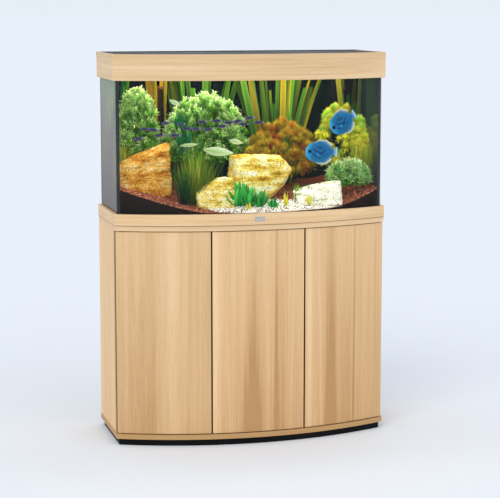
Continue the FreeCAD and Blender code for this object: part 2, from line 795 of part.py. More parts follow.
# name: centre, radii, bottom, top, lean, top scale
PLANTING = {
    "rock_left": ((-352, -20), (86, 44), 812, 985, (34, 14), 0.45),
    "rock_low": ((-124, -108), (58, 27), 778, 872, (6, 8), 0.55),
    "rock_centre": ((48, -18), (100, 44), 790, 938, (14, 10), 0.5),
    "rock_right": ((232, -98), (84, 36), 774, 852, (4, 6), 0.6),
    "wood_stem": ((-262, 92), (13, 13), 836, 1166, (2, 0), 0.95),
    "bush_left": ((-350, 86), (72, 52), 848, 1140, (4, 0), 0.5),
    "bush_middle": ((-108, 70), (128, 52), 826, 1128, (-30, 0), 0.45),
    "brown_plants": ((150, 74), (112, 46), 826, 1046, (0, 0), 0.6),
    "yellow_plants": ((346, 48), (76, 42), 836, 1100, (4, 0), 0.6),
    "hair_grass": ((-214, -92), (36, 26), 780, 965, (-2, 0), 0.9),
    "leaf_rosette": ((-12, -122), (54, 24), 776, 898, (0, 6), 0.7),
    "low_bush_right": ((352, -44), (74, 36), 800, 908, (0, 4), 0.7),
}

# groups of strap leaves: centre, half width at the foot and at the top, top height
TALL_GROUPS = (((-165, 156), 60, 148, 1184), ((188, 152), 60, 136, 1182), ((300, 150), 18, 34, 1184))

FISH = {
    # place, length, height, thickness, turn about Y, turn about Z
    "upper": ((325, -40, 1043), 94, 86, 16, -32, 12),
    "lower": ((236, -78, 949), 112, 82, 17, 2, 8),
}

SHOAL_COUNT = 18


def shoal_place(index):
    """A loose band of fish that climbs to the right, scattered by two uneven waves."""
    share = index / (SHOAL_COUNT - 1)
    scatter = 26 * (1 - 0.7 * share)
    return (-366 + 402 * share, -22 + 15 * math.sin(2.1 * index),
            1022 + 34 * share + scatter * math.sin(2.6 * index + 4))


def lens(place, length, height, thickness, pitch=0, yaw=0):
    """A fish-shaped lens: a sphere drawn out along its three axes."""
    ball = Part.makeSphere(1)
    scale = FreeCAD.Matrix()
    scale.scale(length / 2, thickness / 2, height / 2)
    body = ball.transformGeometry(scale)
    body.rotate(Vector(0, 0, 0), Vector(0, 1, 0), pitch)
    body.rotate(Vector(0, 0, 0), Vector(0, 0, 1), yaw)
    body.translate(Vector(*place))
    return body


def tall_leaves():
    fans = []
    for (x, y), foot, head, top in TALL_GROUPS:
        low = gravel_height(x, y) - 12
        wires = [Part.makePolygon([Vector(x - half, y - deep, z), Vector(x + half, y - deep, z),
                                   Vector(x + half, y + deep, z), Vector(x - half, y + deep, z),
                                   Vector(x - half, y - deep, z)])
                 for half, deep, z in ((foot, 10, low), (head, 22, (low + top) / 2), (head, 20, top))]
        fans.append(Part.makeLoft(wires, True, True))
    return Part.makeCompound(fans)


def largest(shape):
    return max(shape.Solids, key=lambda solid: solid.Volume)


def planted_tank():
    """Gravel, sand, rocks, plants and fish, each clear of the ones before it."""
    nodes = []
    placed = []
    for seed, (label, row) in enumerate(PLANTING.items()):
        centre, radii, low, high, lean, top = row
        solid = stone(centre, radii, low, high, lean, top, seed)
        for other in placed:
            if solid.BoundBox.intersect(other.BoundBox) and solid.common(other).Volume > 0:
                solid = largest(solid.cut(other))
        placed.append(solid)
        nodes.append(shaped(label, solid))
    fans = tall_leaves()
    for solid in placed:
        fans = fans.cut(solid)
    nodes.append(shaped("tall_leaves", Part.makeCompound(
        [solid for solid in fans.Solids if solid.Volume > 1000])))
    placed += nodes[-1].Shape.Solids

    filter_space = Part.makeBox(104, 72, 460, Vector(337, 111, 740))
    bed = bed_solid(0)
    column = Part.makeCylinder(1, 100, Vector(0, 0, FLOOR_GLASS_TOP.value))
    spread = FreeCAD.Matrix()
    spread.scale(232, 74, 1)
    column = column.transformGeometry(spread)
    column.translate(Vector(74, -132, 0))
    patch = bed.common(column).cut(bed_solid(9))
    gravel = bed.cut(patch).cut(filter_space)
    for solid in placed:
        gravel = gravel.cut(solid)
        patch = patch.cut(solid)
    nodes.append(shaped("gravel_bed", largest(gravel)))
    nodes.append(shaped("sand_patch", largest(patch)))

    nodes.append(shaped("discus_pair", Part.makeCompound([lens(*row) for row in FISH.values()])))
    nodes.append(shaped("tetra_school", Part.makeCompound(
        [lens(shoal_place(index), 34, 10, 6, 4 * math.sin(index), 16 * math.cos(2 * index))
         for index in range(SHOAL_COUNT)])))
    return nodes


# -------------------------------------------------------------------- assembly
def all_nodes():
    nodes = [plinth(), base_board(), top_board(), side_panel(-1), side_panel(1), partition(-1),
             partition(1), back_panel(), shelves(), shelf_pins(), cabinet_screws(),
             pivot_bushes(), latch_housings()]
    for name in DOORS:
        nodes += [door(name), door_fittings(name), latch_plunger(name)]
    nodes += [base_frame(), badge_plate(), bottom_glass(), front_glass(), side_glass(-1),
              side_glass(1), back_glass(), background_film(), silicone_seams(), hood_frame(),
              hood_inner_frame(), lid_hinge_rods(), light_bar(), led_tubes(), front_lid(),
              rear_lid(), filter_housing(), filter_sponges(), filter_pump(), pump_nozzle(),
              heater_tube()]
    return nodes + planted_tank()


def check(nodes):
    doc.recompute()
    for item in doc.Objects:
        if "Invalid" in item.State or "Error" in item.State:
            raise RuntimeError("%s failed to recompute" % item.Label)
    for node in nodes:
        if node.Shape.isNull() or not node.Shape.isValid() or not node.Shape.Solids:
            raise RuntimeError("%s has no valid shape" % node.Label)


def export(nodes):
    os.makedirs("parts", exist_ok=True)
    for node in nodes:
        node.Shape.exportStep("parts/%s.step" % node.Label)
    print("%d nodes written" % len(nodes))


all_parts = all_nodes()
check(all_parts)
export(all_parts)
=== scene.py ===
"""Looks of the bow-front aquarium on its cabinet: materials, planting, stones, gravel and fish.

Metres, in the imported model's frame: +X right, the bowed front faces -Y, +Z up.
"""
import functools
import json
import math
import random

import bmesh
import bpy
from mathutils import Euler, Matrix, Vector, noise
from mathutils.bvhtree import BVHTree

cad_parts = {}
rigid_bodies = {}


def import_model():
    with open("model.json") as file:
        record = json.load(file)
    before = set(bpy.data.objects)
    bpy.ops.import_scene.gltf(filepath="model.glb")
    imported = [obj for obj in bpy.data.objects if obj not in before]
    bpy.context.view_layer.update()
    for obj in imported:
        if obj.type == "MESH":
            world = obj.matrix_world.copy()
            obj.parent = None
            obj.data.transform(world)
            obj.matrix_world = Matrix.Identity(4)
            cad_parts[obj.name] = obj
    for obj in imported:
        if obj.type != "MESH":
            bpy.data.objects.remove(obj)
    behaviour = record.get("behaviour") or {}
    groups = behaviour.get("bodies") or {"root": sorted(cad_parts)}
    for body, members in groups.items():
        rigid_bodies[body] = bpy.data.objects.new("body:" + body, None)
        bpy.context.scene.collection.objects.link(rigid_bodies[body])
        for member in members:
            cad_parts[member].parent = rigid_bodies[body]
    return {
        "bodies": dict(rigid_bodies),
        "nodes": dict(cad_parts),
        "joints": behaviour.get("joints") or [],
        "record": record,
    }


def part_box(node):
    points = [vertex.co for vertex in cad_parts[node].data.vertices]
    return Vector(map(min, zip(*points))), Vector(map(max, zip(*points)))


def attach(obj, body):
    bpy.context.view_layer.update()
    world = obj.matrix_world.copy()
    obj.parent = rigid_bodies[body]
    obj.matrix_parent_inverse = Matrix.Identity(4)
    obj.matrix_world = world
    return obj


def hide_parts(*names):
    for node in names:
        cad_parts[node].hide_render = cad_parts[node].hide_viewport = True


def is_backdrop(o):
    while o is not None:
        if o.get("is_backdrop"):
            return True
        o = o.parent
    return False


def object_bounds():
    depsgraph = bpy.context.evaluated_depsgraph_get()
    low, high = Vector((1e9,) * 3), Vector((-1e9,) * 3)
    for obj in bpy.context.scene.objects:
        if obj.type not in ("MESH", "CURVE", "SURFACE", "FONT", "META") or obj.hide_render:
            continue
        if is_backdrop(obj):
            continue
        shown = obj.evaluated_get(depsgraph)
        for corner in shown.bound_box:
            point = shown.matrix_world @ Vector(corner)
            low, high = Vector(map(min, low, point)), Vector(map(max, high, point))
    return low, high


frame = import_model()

cad_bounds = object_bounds()
nodes = frame["nodes"]
ROOT = "cabinet_and_tank"


# ------------------------------------------------------------ camera, stage, light
def srgb(red, green, blue):
    """An 8-bit sRGB colour as linear RGBA."""
    def linear(value):
        value /= 255
        return value / 12.92 if value <= 0.04045 else ((value + 0.055) / 1.055) ** 2.4
    return linear(red), linear(green), linear(blue), 1.0


def link(name, data):
    """A new object for this data, in the scene."""
    item = bpy.data.objects.new(name, data)
    bpy.context.scene.collection.objects.link(item)
    return item


BACKDROP = srgb(231, 238, 246)
CAMERA_PLACE = (-1.4425, -5.4823, 1.4528)
CAMERA_DOWN, CAMERA_TURN = 8.339, -14.936           # degrees


def add_camera():
    data = bpy.data.cameras.new("camera")
    data.lens = 122.56
    data.sensor_width = 36
    data.clip_end = 200
    camera = link("camera", data)
    camera.location = CAMERA_PLACE
    camera.rotation_euler = (math.radians(90 - CAMERA_DOWN), 0, math.radians(CAMERA_TURN))
    bpy.context.scene.camera = camera


def add_tank_lamp():
    """A wide lamp close under the hood, shining straight down into the tank."""
    data = bpy.data.lights.new("tank_lamp", "AREA")
    data.energy = 3.2
    data.color = (1.0, 0.98, 0.92)
    data.shape = "RECTANGLE"
    data.size, data.size_y = 0.74, 0.18
    place = Vector((0, 0.02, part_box("hood_inner_frame")[0].z - 0.012))
    lamp = link("tank_lamp", data)
    lamp.location = place
    lamp.rotation_euler = (Vector((0, 0.0, 0.8)) - place).to_track_quat("-Z", "Y").to_euler()


def add_sun(name, direction, strength, angle, colour=(1, 1, 1)):
    data = bpy.data.lights.new(name, "SUN")
    data.energy = strength
    data.angle = math.radians(angle)
    data.color = colour
    link(name, data).rotation_euler = Vector(direction).to_track_quat("-Z", "Y").to_euler()


def add_lights():
    """An even studio sky, two broad soft suns, and the lamp under the hood."""
    world = bpy.data.worlds.new("studio")
    world.use_nodes = True
    world.node_tree.nodes["Background"].inputs["Color"].default_value = BACKDROP
    world.node_tree.nodes["Background"].inputs["Strength"].default_value = 1.0
    bpy.context.scene.world = world
    add_sun("key", (0.55, 0.75, -0.85), 0.75, 35, (1.0, 0.96, 0.90))
    add_sun("fill", (-0.5, 0.8, -0.4), 0.25, 50)
    add_tank_lamp()


def add_floor():
    bpy.ops.mesh.primitive_plane_add(size=160, location=(0, 60, 0))
    floor = bpy.context.active_object
    floor.name = "studio_floor"
    make = Maker("studio_floor", 1.0)
    make.set("Base Color", (0.785, 0.80, 0.83, 1))
    make.set("Specular IOR Level", 0.0)
    make.set("Emission Color", BACKDROP)
    make.set("Emission Strength", 0.05)
    floor.data.materials.append(make.material)
    floor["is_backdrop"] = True


# ------------------------------------------------------------------- materials
WET = 0.06          # specular level of surfaces under water


class Maker:
    """A material with one Principled shader, and short calls to add nodes to it."""

    def __init__(self, name, roughness=0.5):
        self.material = bpy.data.materials.new(name)
        self.material.use_nodes = True
        self.tree = self.material.node_tree
        self.shader = self.tree.nodes["Principled BSDF"]
        self.set("Roughness", roughness)

    def set(self, socket, value):
        self.put(self.shader.inputs[socket], value)
        return self

    def put(self, socket, value):
        if isinstance(value, bpy.types.NodeSocket):
            self.tree.links.new(value, socket)
        elif hasattr(socket.default_value, "__len__") and not hasattr(value, "__len__"):
            socket.default_value = [value] * len(socket.default_value)
        else:
            socket.default_value = value

    def node(self, kind, output=0, inputs=None, **settings):
        item = self.tree.nodes.new("ShaderNode" + kind)
        for key, value in settings.items():
            setattr(item, key, value)
        for key, value in (inputs or {}).items():
            self.put(item.inputs[key], value)
        return item.outputs[output]

    def math(self, operation, first, second=0.0, third=0.0):
        return self.node("Math", 0, {0: first, 1: second, 2: third}, operation=operation)

    def coordinate(self, name="Object"):
        return self.node("TexCoord", name)

    def split(self):
        """The X, Y and Z of the object coordinate."""
        return self.node("SeparateXYZ", 0, {0: self.coordinate()}).node.outputs

    def wood(self):
        """The colour that the shader has so far, to paint over."""
        return self.shader.inputs["Base Color"].links[0].from_socket

    def noise(self, vector, scale, detail=3.0, roughness=0.55):
        return self.node("TexNoise", 0, {"Vector": vector, "Scale": scale, "Detail": detail,
                                         "Roughness": roughness})

    def voronoi(self, vector, scale):
        return self.node("TexVoronoi", "Distance", {"Vector": vector, "Scale": scale})

    def ramp(self, value, stops):
        item = self.tree.nodes.new("ShaderNodeValToRGB")
        elements = item.color_ramp.elements
        while len(elements) < len(stops):
            elements.new(0.5)
        for element, (place, colour) in zip(elements, stops):
            element.position = place
            element.color = colour if hasattr(colour, "__len__") else (colour,) * 3 + (1,)
        self.put(item.inputs["Fac"], value)
        return item.outputs["Color"]

    def mix(self, factor, first, second, blend="MIX"):
        return self.node("Mix", 2, {0: factor, 6: first, 7: second}, data_type="RGBA",
                         blend_type=blend)

    def under_water_glowing(self, colour, glow):
        """A colour that hardly shines, with a faint painted glow of the same colour."""
        self.set("Base Color", colour)
        self.set("Specular IOR Level", WET)
        # painted glow: the surface emits a little light of its own colour
        self.set("Emission Color", colour)
        self.set("Emission Strength", glow)

    def bump(self, height, strength, distance):
        return self.set("Normal", self.node("Bump", 0, {
            "Height": height, "Strength": strength, "Distance": distance}))


def paint(node, material):
    """Gives a CAD node its material; its mesh is left alone."""
    mesh = nodes[node].data
    mesh.materials.clear()
    mesh.materials.append(material)


OAK_LIGHT = srgb(247, 217, 176)
OAK_MIDDLE = srgb(229, 194, 148)
OAK_DARK = srgb(196, 155, 106)
# dark brown for board edges, and painted shade in the gaps and joints between boards
EDGE_AND_GAP_SHADE = srgb(66, 40, 22)
RIM_BLACK = srgb(24, 24, 25)


PLAIN = (1.0, 1.0, 1.0)
HONEY = (0.95, 0.87, 0.79)
AMBER = (0.90, 0.83, 0.75)
TAN = (0.66, 0.56, 0.40)


def oak(name, upright, seed, bands=0.3, marks=(), dark_edge=None, shade=PLAIN, foot_shade=0.0):
    """Light oak decor. Grain runs along Z if upright, else along the board's length.

    marks are darker bands (place, half width, depth, growth towards the bottom), with the
    place measured across the grain in metres. Faces whose normal leans more than 0.85 to
    the axis dark_edge (0 for X, 1 for Y) are painted dark brown, partly as edge banding and
    partly as painted shade in the gaps beside them. shade multiplies the colour, and the last
    argument is a painted shade over the height: it lightens the board towards its foot when
    negative, darkens it when positive.
    """
    make = Maker(name, 0.5)
    x, y, height = make.split()
    around = make.math("ADD", x, y)
    along, across = (height, around) if upright else (around, height)
    stretch = (9.0, 0.7) if upright else (30.0, 1.6)

    def layer(wide, long, detail, roughness, shift):
        place = make.node("CombineXYZ", 0, {0: make.math("MULTIPLY", across, wide),
                                            1: make.math("MULTIPLY", along, long),
                                            2: seed + shift})
        return make.noise(place, 1.0, detail, roughness)

    broad = layer(stretch[0], stretch[1], 3, 0.5, 0)
    streak = layer(95.0, 1.5, 3, 0.6, 5)
    fine = layer(420.0, 7.0, 2, 0.6, 9)
    pores = layer(900.0, 30.0, 2, 0.7, 13)
    tone = make.math("MULTIPLY_ADD", broad, bands * 2.2, 0.5 - bands * 1.1)
    tone = make.math("ADD", tone, make.math("MULTIPLY_ADD", streak, 0.55, -0.275))
    tone = make.math("ADD", tone, make.math("MULTIPLY_ADD", fine, 0.35, -0.175))
    for place, half_width, depth, growth in marks:
        away = make.math("ABSOLUTE", make.math("SUBTRACT", across, place))
        mark = make.node("MapRange", 0, {"Value": away, "From Min": 0.0, "From Max": half_width,
                                         "To Min": depth, "To Max": 0.0},
                         interpolation_type="SMOOTHSTEP")
        lower = make.node("MapRange", 0, {"Value": height, "From Min": 0.1, "From Max": 0.65,
                                          "To Min": 1.0, "To Max": 1.0 - growth})
        tone = make.math("MULTIPLY_ADD", mark, lower, tone)
    # painted shade over the board's height: darker towards its foot
    if foot_shade:
        tone = make.math("ADD", tone, make.math("MULTIPLY_ADD", height, -foot_shade, foot_shade * 0.4))
    colour = make.ramp(tone, [(0.1, OAK_LIGHT), (0.5, OAK_MIDDLE), (0.95, OAK_DARK)])
    colour = make.mix(0.6, colour, make.ramp(pores, [(0.30, 0.84), (0.5, 1.0)]), "MULTIPLY")
    if shade != PLAIN:
        colour = make.mix(1.0, colour, (*shade, 1), "MULTIPLY")
    # dark brown faces: partly edge banding, partly painted shade in the gaps between boards
    if dark_edge is not None:
        facing = make.node("SeparateXYZ", dark_edge, {0: make.coordinate("Normal")})
        side = make.math("GREATER_THAN", make.math("ABSOLUTE", facing), 0.85)
        colour = make.mix(side, colour, EDGE_AND_GAP_SHADE)
    make.set("Base Color", colour)
    make.set("Roughness", make.ramp(streak, [(0.2, 0.44), (0.9, 0.56)]))
    make.set("Specular IOR Level", 0.3)
    make.bump(make.math("ADD", pores, make.math("MULTIPLY", streak, 0.5)), 0.2, 0.0004)
    return make


JOINT_SHADOW = 0.0022       # height of the dark line in the joint


def shade_joint(make, level):
    """Painted shadow in the joint at a board's upper edge."""
    # painted shadow: a dark strip along the board's upper edge
    upper = make.math("GREATER_THAN", make.split()[2], level - JOINT_SHADOW)
    joint = make.math("MULTIPLY", upper, 0.75)
    make.set("Base Color", make.mix(joint, make.wood(), EDGE_AND_GAP_SHADE))


def blacken_back_rim(make, back, top):
    """The hood's rear rim carries the black hinge rail: only its outer face is wood."""
    _, depth, height = make.split()
    facing = make.node("SeparateXYZ", 1, {0: make.coordinate("Normal")})
    rim = make.math("MULTIPLY", make.math("GREATER_THAN", depth, back - 0.009),
                    make.math("LESS_THAN", facing, 0.5))
    rim = make.math("MULTIPLY", rim, make.math("GREATER_THAN", height, top - 0.010))
    make.set("Base Color", make.mix(rim, make.wood(), RIM_BLACK))


def plastic(name, colour, roughness=0.45, grain=900.0, strength=0.15, metallic=0.0, shine=0.5):
    """Moulded plastic or plain metal: fine grain, slight tone and gloss changes."""
    make = Maker(name, roughness)
    place = make.coordinate()
    fine = make.noise(place, grain, 2)
    broad = make.noise(place, 7.0, 2)
    lighter = tuple(min(1, channel * 1.25 + 0.004) for channel in colour[:3]) + (1,)
    make.set("Base Color", make.mix(make.ramp(broad, [(0.35, 0.0), (0.7, 1.0)]), colour, lighter))
    make.set("Roughness", make.ramp(broad, [(0.3, roughness - 0.06), (0.7, roughness + 0.06)]))
    make.set("Metallic", metallic)
    make.set("Specular IOR Level", shine)
    make.bump(fine, strength, 0.0003)
    return make.material


def steel(name):
    make = Maker(name, 0.3)
    brushed = make.noise(make.node("Mapping", 0, {"Vector": make.coordinate(),
                                                  "Scale": (900, 900, 40)}), 1.0, 2)
    make.set("Base Color", make.ramp(brushed, [(0.2, srgb(150, 152, 156)),
                                               (0.8, srgb(205, 207, 210))]))
    make.set("Metallic", 1.0)
    make.set("Roughness", make.ramp(brushed, [(0.2, 0.22), (0.8, 0.4)]))
    return make.material


def pane(name, clear, grazing, tint):
    """Glass that is clear seen squarely and takes on gloss at a slant."""
    make = Maker(name, 0.04)
    smear = make.noise(make.coordinate(), 5.0, 3)
    make.set("Base Color", tint)
    make.set("Roughness", make.ramp(smear, [(0.35, 0.03), (0.75, 0.07)]))
    make.set("IOR", 1.5)
    slant = make.node("LayerWeight", "Facing", {"Blend": 0.5})
    make.set("Alpha", make.ramp(slant, [(0.35, clear), (0.72, grazing)]))
    return make


def side_pane(name, bottom, top):
    """A side pane with a painted reflection of the planting: a soft blurred sheen, greener to its top,
    over grey that is darker and browner at its foot.
    """
    make = pane(name, 0.22, 0.95, (0, 0, 0, 1))
    make.set("Specular IOR Level", 0.03)
    _, depth, height = make.split()
    rise = make.node("MapRange", 0, {"Value": height, "From Min": bottom, "From Max": top})
    stretched = make.node("Mapping", 0, {"Vector": make.coordinate(), "Scale": (5, 14, 6)})
    cloud = make.noise(stretched, 1.0, 3)
    # painted reflection: dark and brownish at the pane's foot, greener towards its top
    grey = make.ramp(rise, [(0.0, srgb(74, 66, 62)), (0.25, srgb(98, 88, 82)),
                            (0.6, srgb(124, 118, 108)), (0.85, srgb(126, 140, 114)),
                            (1.0, srgb(132, 158, 124))])
    # painted reflection of the leaves: a blurred cloud of greens
    reflected_leaves = make.ramp(cloud, [(0.40, srgb(84, 96, 92)), (0.55, srgb(122, 142, 96)),
                               (0.68, srgb(176, 172, 92))])
    # the painted reflection is strongest near the pane's front edge and high up
    front = make.node("MapRange", 0, {"Value": depth, "From Min": 0.10, "From Max": -0.085,
                                      "To Min": 0.1, "To Max": 0.75})
    amount = make.math("MULTIPLY", front, make.ramp(rise, [(0.12, 0.0), (0.5, 0.6), (0.9, 1.0)]))
    make.set("Base Color", make.mix(amount, grey, reflected_leaves))
    return make


def paint_cabinet():
    left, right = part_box("left_door"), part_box("right_door")
    third = right[1].x - right[0].x
    left_marks = [(left[0].x + third * 0.35 - 0.14, 0.030, 0.14, 0.2),
                  (left[0].x + third * 0.62 - 0.17, 0.040, -0.25, 0.0)]
    middle_marks = [(-0.215, 0.055, 0.60, 0.7), (-0.135, 0.010, 0.45, 0.3),
                    (-0.335, 0.030, -0.40, 0.0), (-0.130, 0.050, 0.20, 0.6)]
    right_marks = [(right[0].x + third * 0.30 - 0.16, 0.045, 0.60, 0.6),
                   (right[0].x + third * 0.62 - 0.14, 0.009, 0.40, 0.4),
                   (right[0].x + third * 0.05 - 0.18, 0.020, -0.35, 0.0)]
    boards = {
        "left_side_panel": oak("oak_left_side", True, 2.1, 0.35, shade=(1.06, 0.98, 0.86)),
        "right_side_panel": oak("oak_right_side", True, 4.7, 0.35, shade=(1.06, 0.98, 0.86)),
        # the doors get painted shade that darkens them towards their foot; their side faces are dark
        # brown, partly edge banding and partly painted shade in the gaps
        "left_door": oak("oak_left_door", True, 9.3, 0.25, left_marks, 0, shade=AMBER, foot_shade=0.5),
        "middle_door": oak("oak_middle_door", True, 5.2, 0.25, middle_marks, 0, shade=HONEY, foot_shade=0.5),
        "right_door": oak("oak_right_door", True, 12.8, 0.25, right_marks, 0, shade=HONEY, foot_shade=0.5),
        "base_board": oak("oak_base_board", False, 1.3, 0.15, shade=TAN),
        "top_board": oak("oak_top_board", False, 3.9, 0.2),
        "base_frame": oak("oak_base_frame", False, 7.7, 0.2, shade=(1.04, 1.02, 1.0)),
        "hood_frame": oak("oak_hood", False, 6.4, 0.3),
        # partition fronts seen between the doors: dark brown, partly edge banding and partly painted
        # shade in the gaps
        "left_partition": oak("oak_left_partition", True, 8.8, 0.3, dark_edge=1, shade=HONEY),
        "right_partition": oak("oak_right_partition", True, 6.6, 0.3, dark_edge=1, shade=HONEY),
        "shelves": oak("oak_shelves", False, 10.4, 0.3, shade=HONEY),
    }
    shade_joint(boards["top_board"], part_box("top_board")[1].z)
    blacken_back_rim(boards["hood_frame"], *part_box("hood_frame")[1].yz)
    for node, make in boards.items():
        paint(node, make.material)
    board = Maker("back_fibreboard", 0.8)
    fibres = board.noise(board.coordinate(), 400.0, 4, 0.7)
    board.set("Base Color", board.ramp(fibres, [(0.3, srgb(176, 142, 102)),
                                                (0.7, srgb(204, 172, 130))]))
    board.bump(fibres, 0.3, 0.0004)
    paint("back_panel", board.material)
    paint("plinth", plastic("plinth_laminate", srgb(10, 10, 11), 0.6, 500.0, shine=0.1))
    metal = steel("fitting_steel")
    for node in ("shelf_pins", "cabinet_screws", "left_door_fittings", "middle_door_fittings",
                 "right_door_fittings", "lid_hinge_rods"):
        paint(node, metal)
    paint("pivot_bushes", plastic("bush_brass", srgb(196, 160, 88), 0.3, 700.0, 0.05, 1.0))
    latch = plastic("latch_plastic", srgb(120, 122, 126), 0.4)
    for node in ("latch_housings", "left_latch_plunger", "middle_latch_plunger",
                 "right_latch_plunger"):
        paint(node, latch)
    badge = Maker("badge_plate", 0.35)
    turned = badge.noise(badge.node("Mapping", 0, {"Vector": badge.coordinate(),
                                                   "Scale": (60, 60, 2500)}), 1.0, 2)
    badge.set("Base Color", badge.ramp(turned, [(0.3, srgb(170, 164, 156)),
                                                (0.7, srgb(206, 200, 192))]))
    badge.set("Metallic", 0.6)
    badge.bump(turned, 0.2, 0.0002)
    paint("badge_plate", badge.material)


def paint_tank():
    low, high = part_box("front_glass")
    paint("front_glass", pane("front_pane", 0.02, 0.25, (0.30, 0.36, 0.35, 1)).material)
    paint("left_glass", side_pane("left_pane", low.z, high.z).material)
    mirror = pane("right_pane", 0.22, 0.96, (0.004, 0.016, 0.012, 1))
    mirror.set("IOR", 2.0)
    paint("right_glass", mirror.material)
    paint("back_glass", pane("back_pane", 0.02, 0.2, (0.04, 0.07, 0.07, 1)).material)
    paint("bottom_glass", pane("bottom_pane", 0.2, 0.6, (0.03, 0.05, 0.05, 1)).material)
    paint("silicone_seams", plastic("silicone", srgb(14, 14, 15), 0.35, 300.0))
    film = Maker("background_film", 0.6)
    place = film.coordinate()
    cloud = film.noise(place, 9.0, 5, 0.6)
    speck = film.noise(place, 260.0, 3, 0.7)
    deep = film.ramp(cloud, [(0.35, srgb(1, 4, 6)), (0.55, srgb(2, 14, 16)), (0.75, srgb(4, 34, 28))])
    light = film.ramp(speck, [(0.58, 0.0), (0.72, 1.0)])
    film.set("Base Color", film.mix(light, deep, srgb(8, 34, 44)))
    film.set("Specular IOR Level", 0.02)
    paint("background_film", film.material)
    black = plastic("hood_plastic", srgb(30, 28, 29), 0.5, 1200.0, 0.2, shine=0.3)
    for node in ("hood_inner_frame", "light_bar", "front_lid", "rear_lid"):
        paint(node, black)
    lamp = Maker("lamp_tube", 0.3)
    ends = lamp.node("SeparateXYZ", 0, {0: lamp.coordinate()})
    cap = lamp.math("GREATER_THAN", lamp.math("ABSOLUTE", ends), 0.362)
    lamp.set("Base Color", lamp.mix(cap, srgb(250, 250, 250), srgb(40, 40, 42)))
    lamp.set("Emission Color", srgb(255, 250, 238))
    lamp.set("Emission Strength", 1.5)
    paint("led_tubes", lamp.material)
    dark = plastic("filter_plastic", srgb(4, 8, 7), 0.6, 700.0, shine=0.03)
    for node in ("filter_housing", "filter_pump", "pump_nozzle"):
        paint(node, dark)
    sponge = Maker("filter_sponge", 0.95)
    cells = sponge.voronoi(sponge.coordinate(), 520.0)
    sponge.set("Base Color", sponge.ramp(cells, [(0.1, srgb(20, 40, 66)), (0.5, srgb(58, 104, 156))]))
    sponge.bump(cells, 0.9, 0.001)
    paint("filter_sponges", sponge.material)
    paint("heater_tube", plastic("heater_glass", srgb(40, 44, 48), 0.12, 200.0, 0.05))


# ----------------------------------------------------------------- mesh helpers
def placed(name, mesh, material, replaced):
    """Makes a smooth mesh into a piece that rides on the cabinet and tank."""
    mesh.polygons.foreach_set("use_smooth", [True] * len(mesh.polygons))
    mesh.materials.append(material)
    item = link(name, mesh)
    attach(item, ROOT)
    if replaced:
        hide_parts(*replaced)


def ribbon_faces(steps):
    """Faces of a strip with three points across at each step."""
    return [(a, a + 1, a + 4, a + 3) for step in range(steps) for a in (step * 3, step * 3 + 1)]


def tube_faces(rings, sides):
    """Faces between closed rings of points, one ring more than rings."""
    faces = []
    for ring in range(rings):
        for side in range(sides):
            after = (side + 1) % sides
            faces.append((ring * sides + side, ring * sides + after,
                          (ring + 1) * sides + after, (ring + 1) * sides + side))
    return faces


class Shape:
    """Collects vertices, faces and a colour for each vertex, then makes one mesh piece."""

    def __init__(self):
        self.points = []
        self.faces = []
        self.tints = []

    def add(self, points, faces, tints):
        base = len(self.points)
        self.points += [kept_inside(point) for point in points]
        self.tints += tints
        self.faces += [tuple(base + index for index in face) for face in faces]

    def piece(self, name, material, replaced, slot):
        mesh = bpy.data.meshes.new(name)
        mesh.from_pydata([tuple(point) for point in self.points], [], self.faces)
        layer = mesh.color_attributes.new("tint", "FLOAT_COLOR", "POINT")
        flat = [channel for tint in self.tints for channel in (*tint[:3], 1.0)]
        layer.data.foreach_set("color", flat)
        mesh.update()
        placed(name, mesh, material, replaced)


def blend_colour(first, second, amount):
    amount = max(0.0, min(1.0, amount))
    return tuple(a + (b - a) * amount for a, b in zip(first[:3], second[:3]))


def shaded(colour, dice, spread):
    factor = 1 + dice.uniform(-spread, spread)
    return tuple(channel * factor for channel in colour[:3])


FOOT_WIDTH = 0.15       # a leaf's width at its foot, as a share of its full width


def leaf(shape, base, heading, length, width, bend, colours, steps=6, fold=0.25, belly=0.5,
         twist=0.0):
    """A curved blade: three points across at each step, folded along its midrib.

    heading is the first direction; bend turns it over along its length; colours run
    from foot to tip; belly is where along the blade it is widest.
    """
    forward = Vector(heading).normalized()
    side = forward.cross(Vector((0, 0, 1)))
    side = side.normalized() if side.length > 1e-4 else Vector((1, 0, 0))
    side = Matrix.Rotation(twist, 3, forward) @ side
    points, tints = [], []
    place = Vector(base)
    for step in range(steps + 1):
        t = step / steps
        if t < belly:
            spread = FOOT_WIDTH + (1 - FOOT_WIDTH) * math.sin(math.pi / 2 * t / belly)
        else:
            spread = math.cos(math.pi / 2 * (t - belly) / (1 - belly) * 0.97)
        half = width / 2 * spread
        up = side.cross(forward).normalized()
        points += [place - side * half + up * half * fold, place - up * half * 0.1,
                   place + side * half + up * half * fold]
        tint = colours(t)
        edge = colours(t, True)
        tints += [edge, tint, edge]
        turn = Matrix.Rotation(bend / steps, 3, side)
        forward = turn @ forward
        place = place + forward * (length / steps)
    shape.add(points, ribbon_faces(steps), tints)


def leaf_material(name, roughness=0.42, vein=0.0, glow=0.12):
    """Leaf tissue: the piece's own tint, mottled, finely uneven, with a faint glow."""
    make = Maker(name, roughness)
    tint = make.node("VertexColor", 0, layer_name="tint")
    place = make.coordinate()
    mottle = make.noise(place, 220.0, 3)
    colour = make.mix(make.ramp(mottle, [(0.3, 0.0), (0.7, 1.0)]), tint,
                      make.mix(0.45, tint, (0.9, 1.0, 0.55, 1), "MULTIPLY"))
    make.under_water_glowing(colour, glow)
    make.bump(make.noise(place, 500.0, 2), 0.2 + vein, 0.0006)
    return make.material


# ------------------------------------------------------------------- tank inside
LIMIT_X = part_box("right_glass")[0].x - 0.002
LIMIT_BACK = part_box("back_glass")[0].y - 0.002
LIMIT_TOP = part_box("hood_frame")[0].z + 0.004
GLASS_GAP = 0.0015


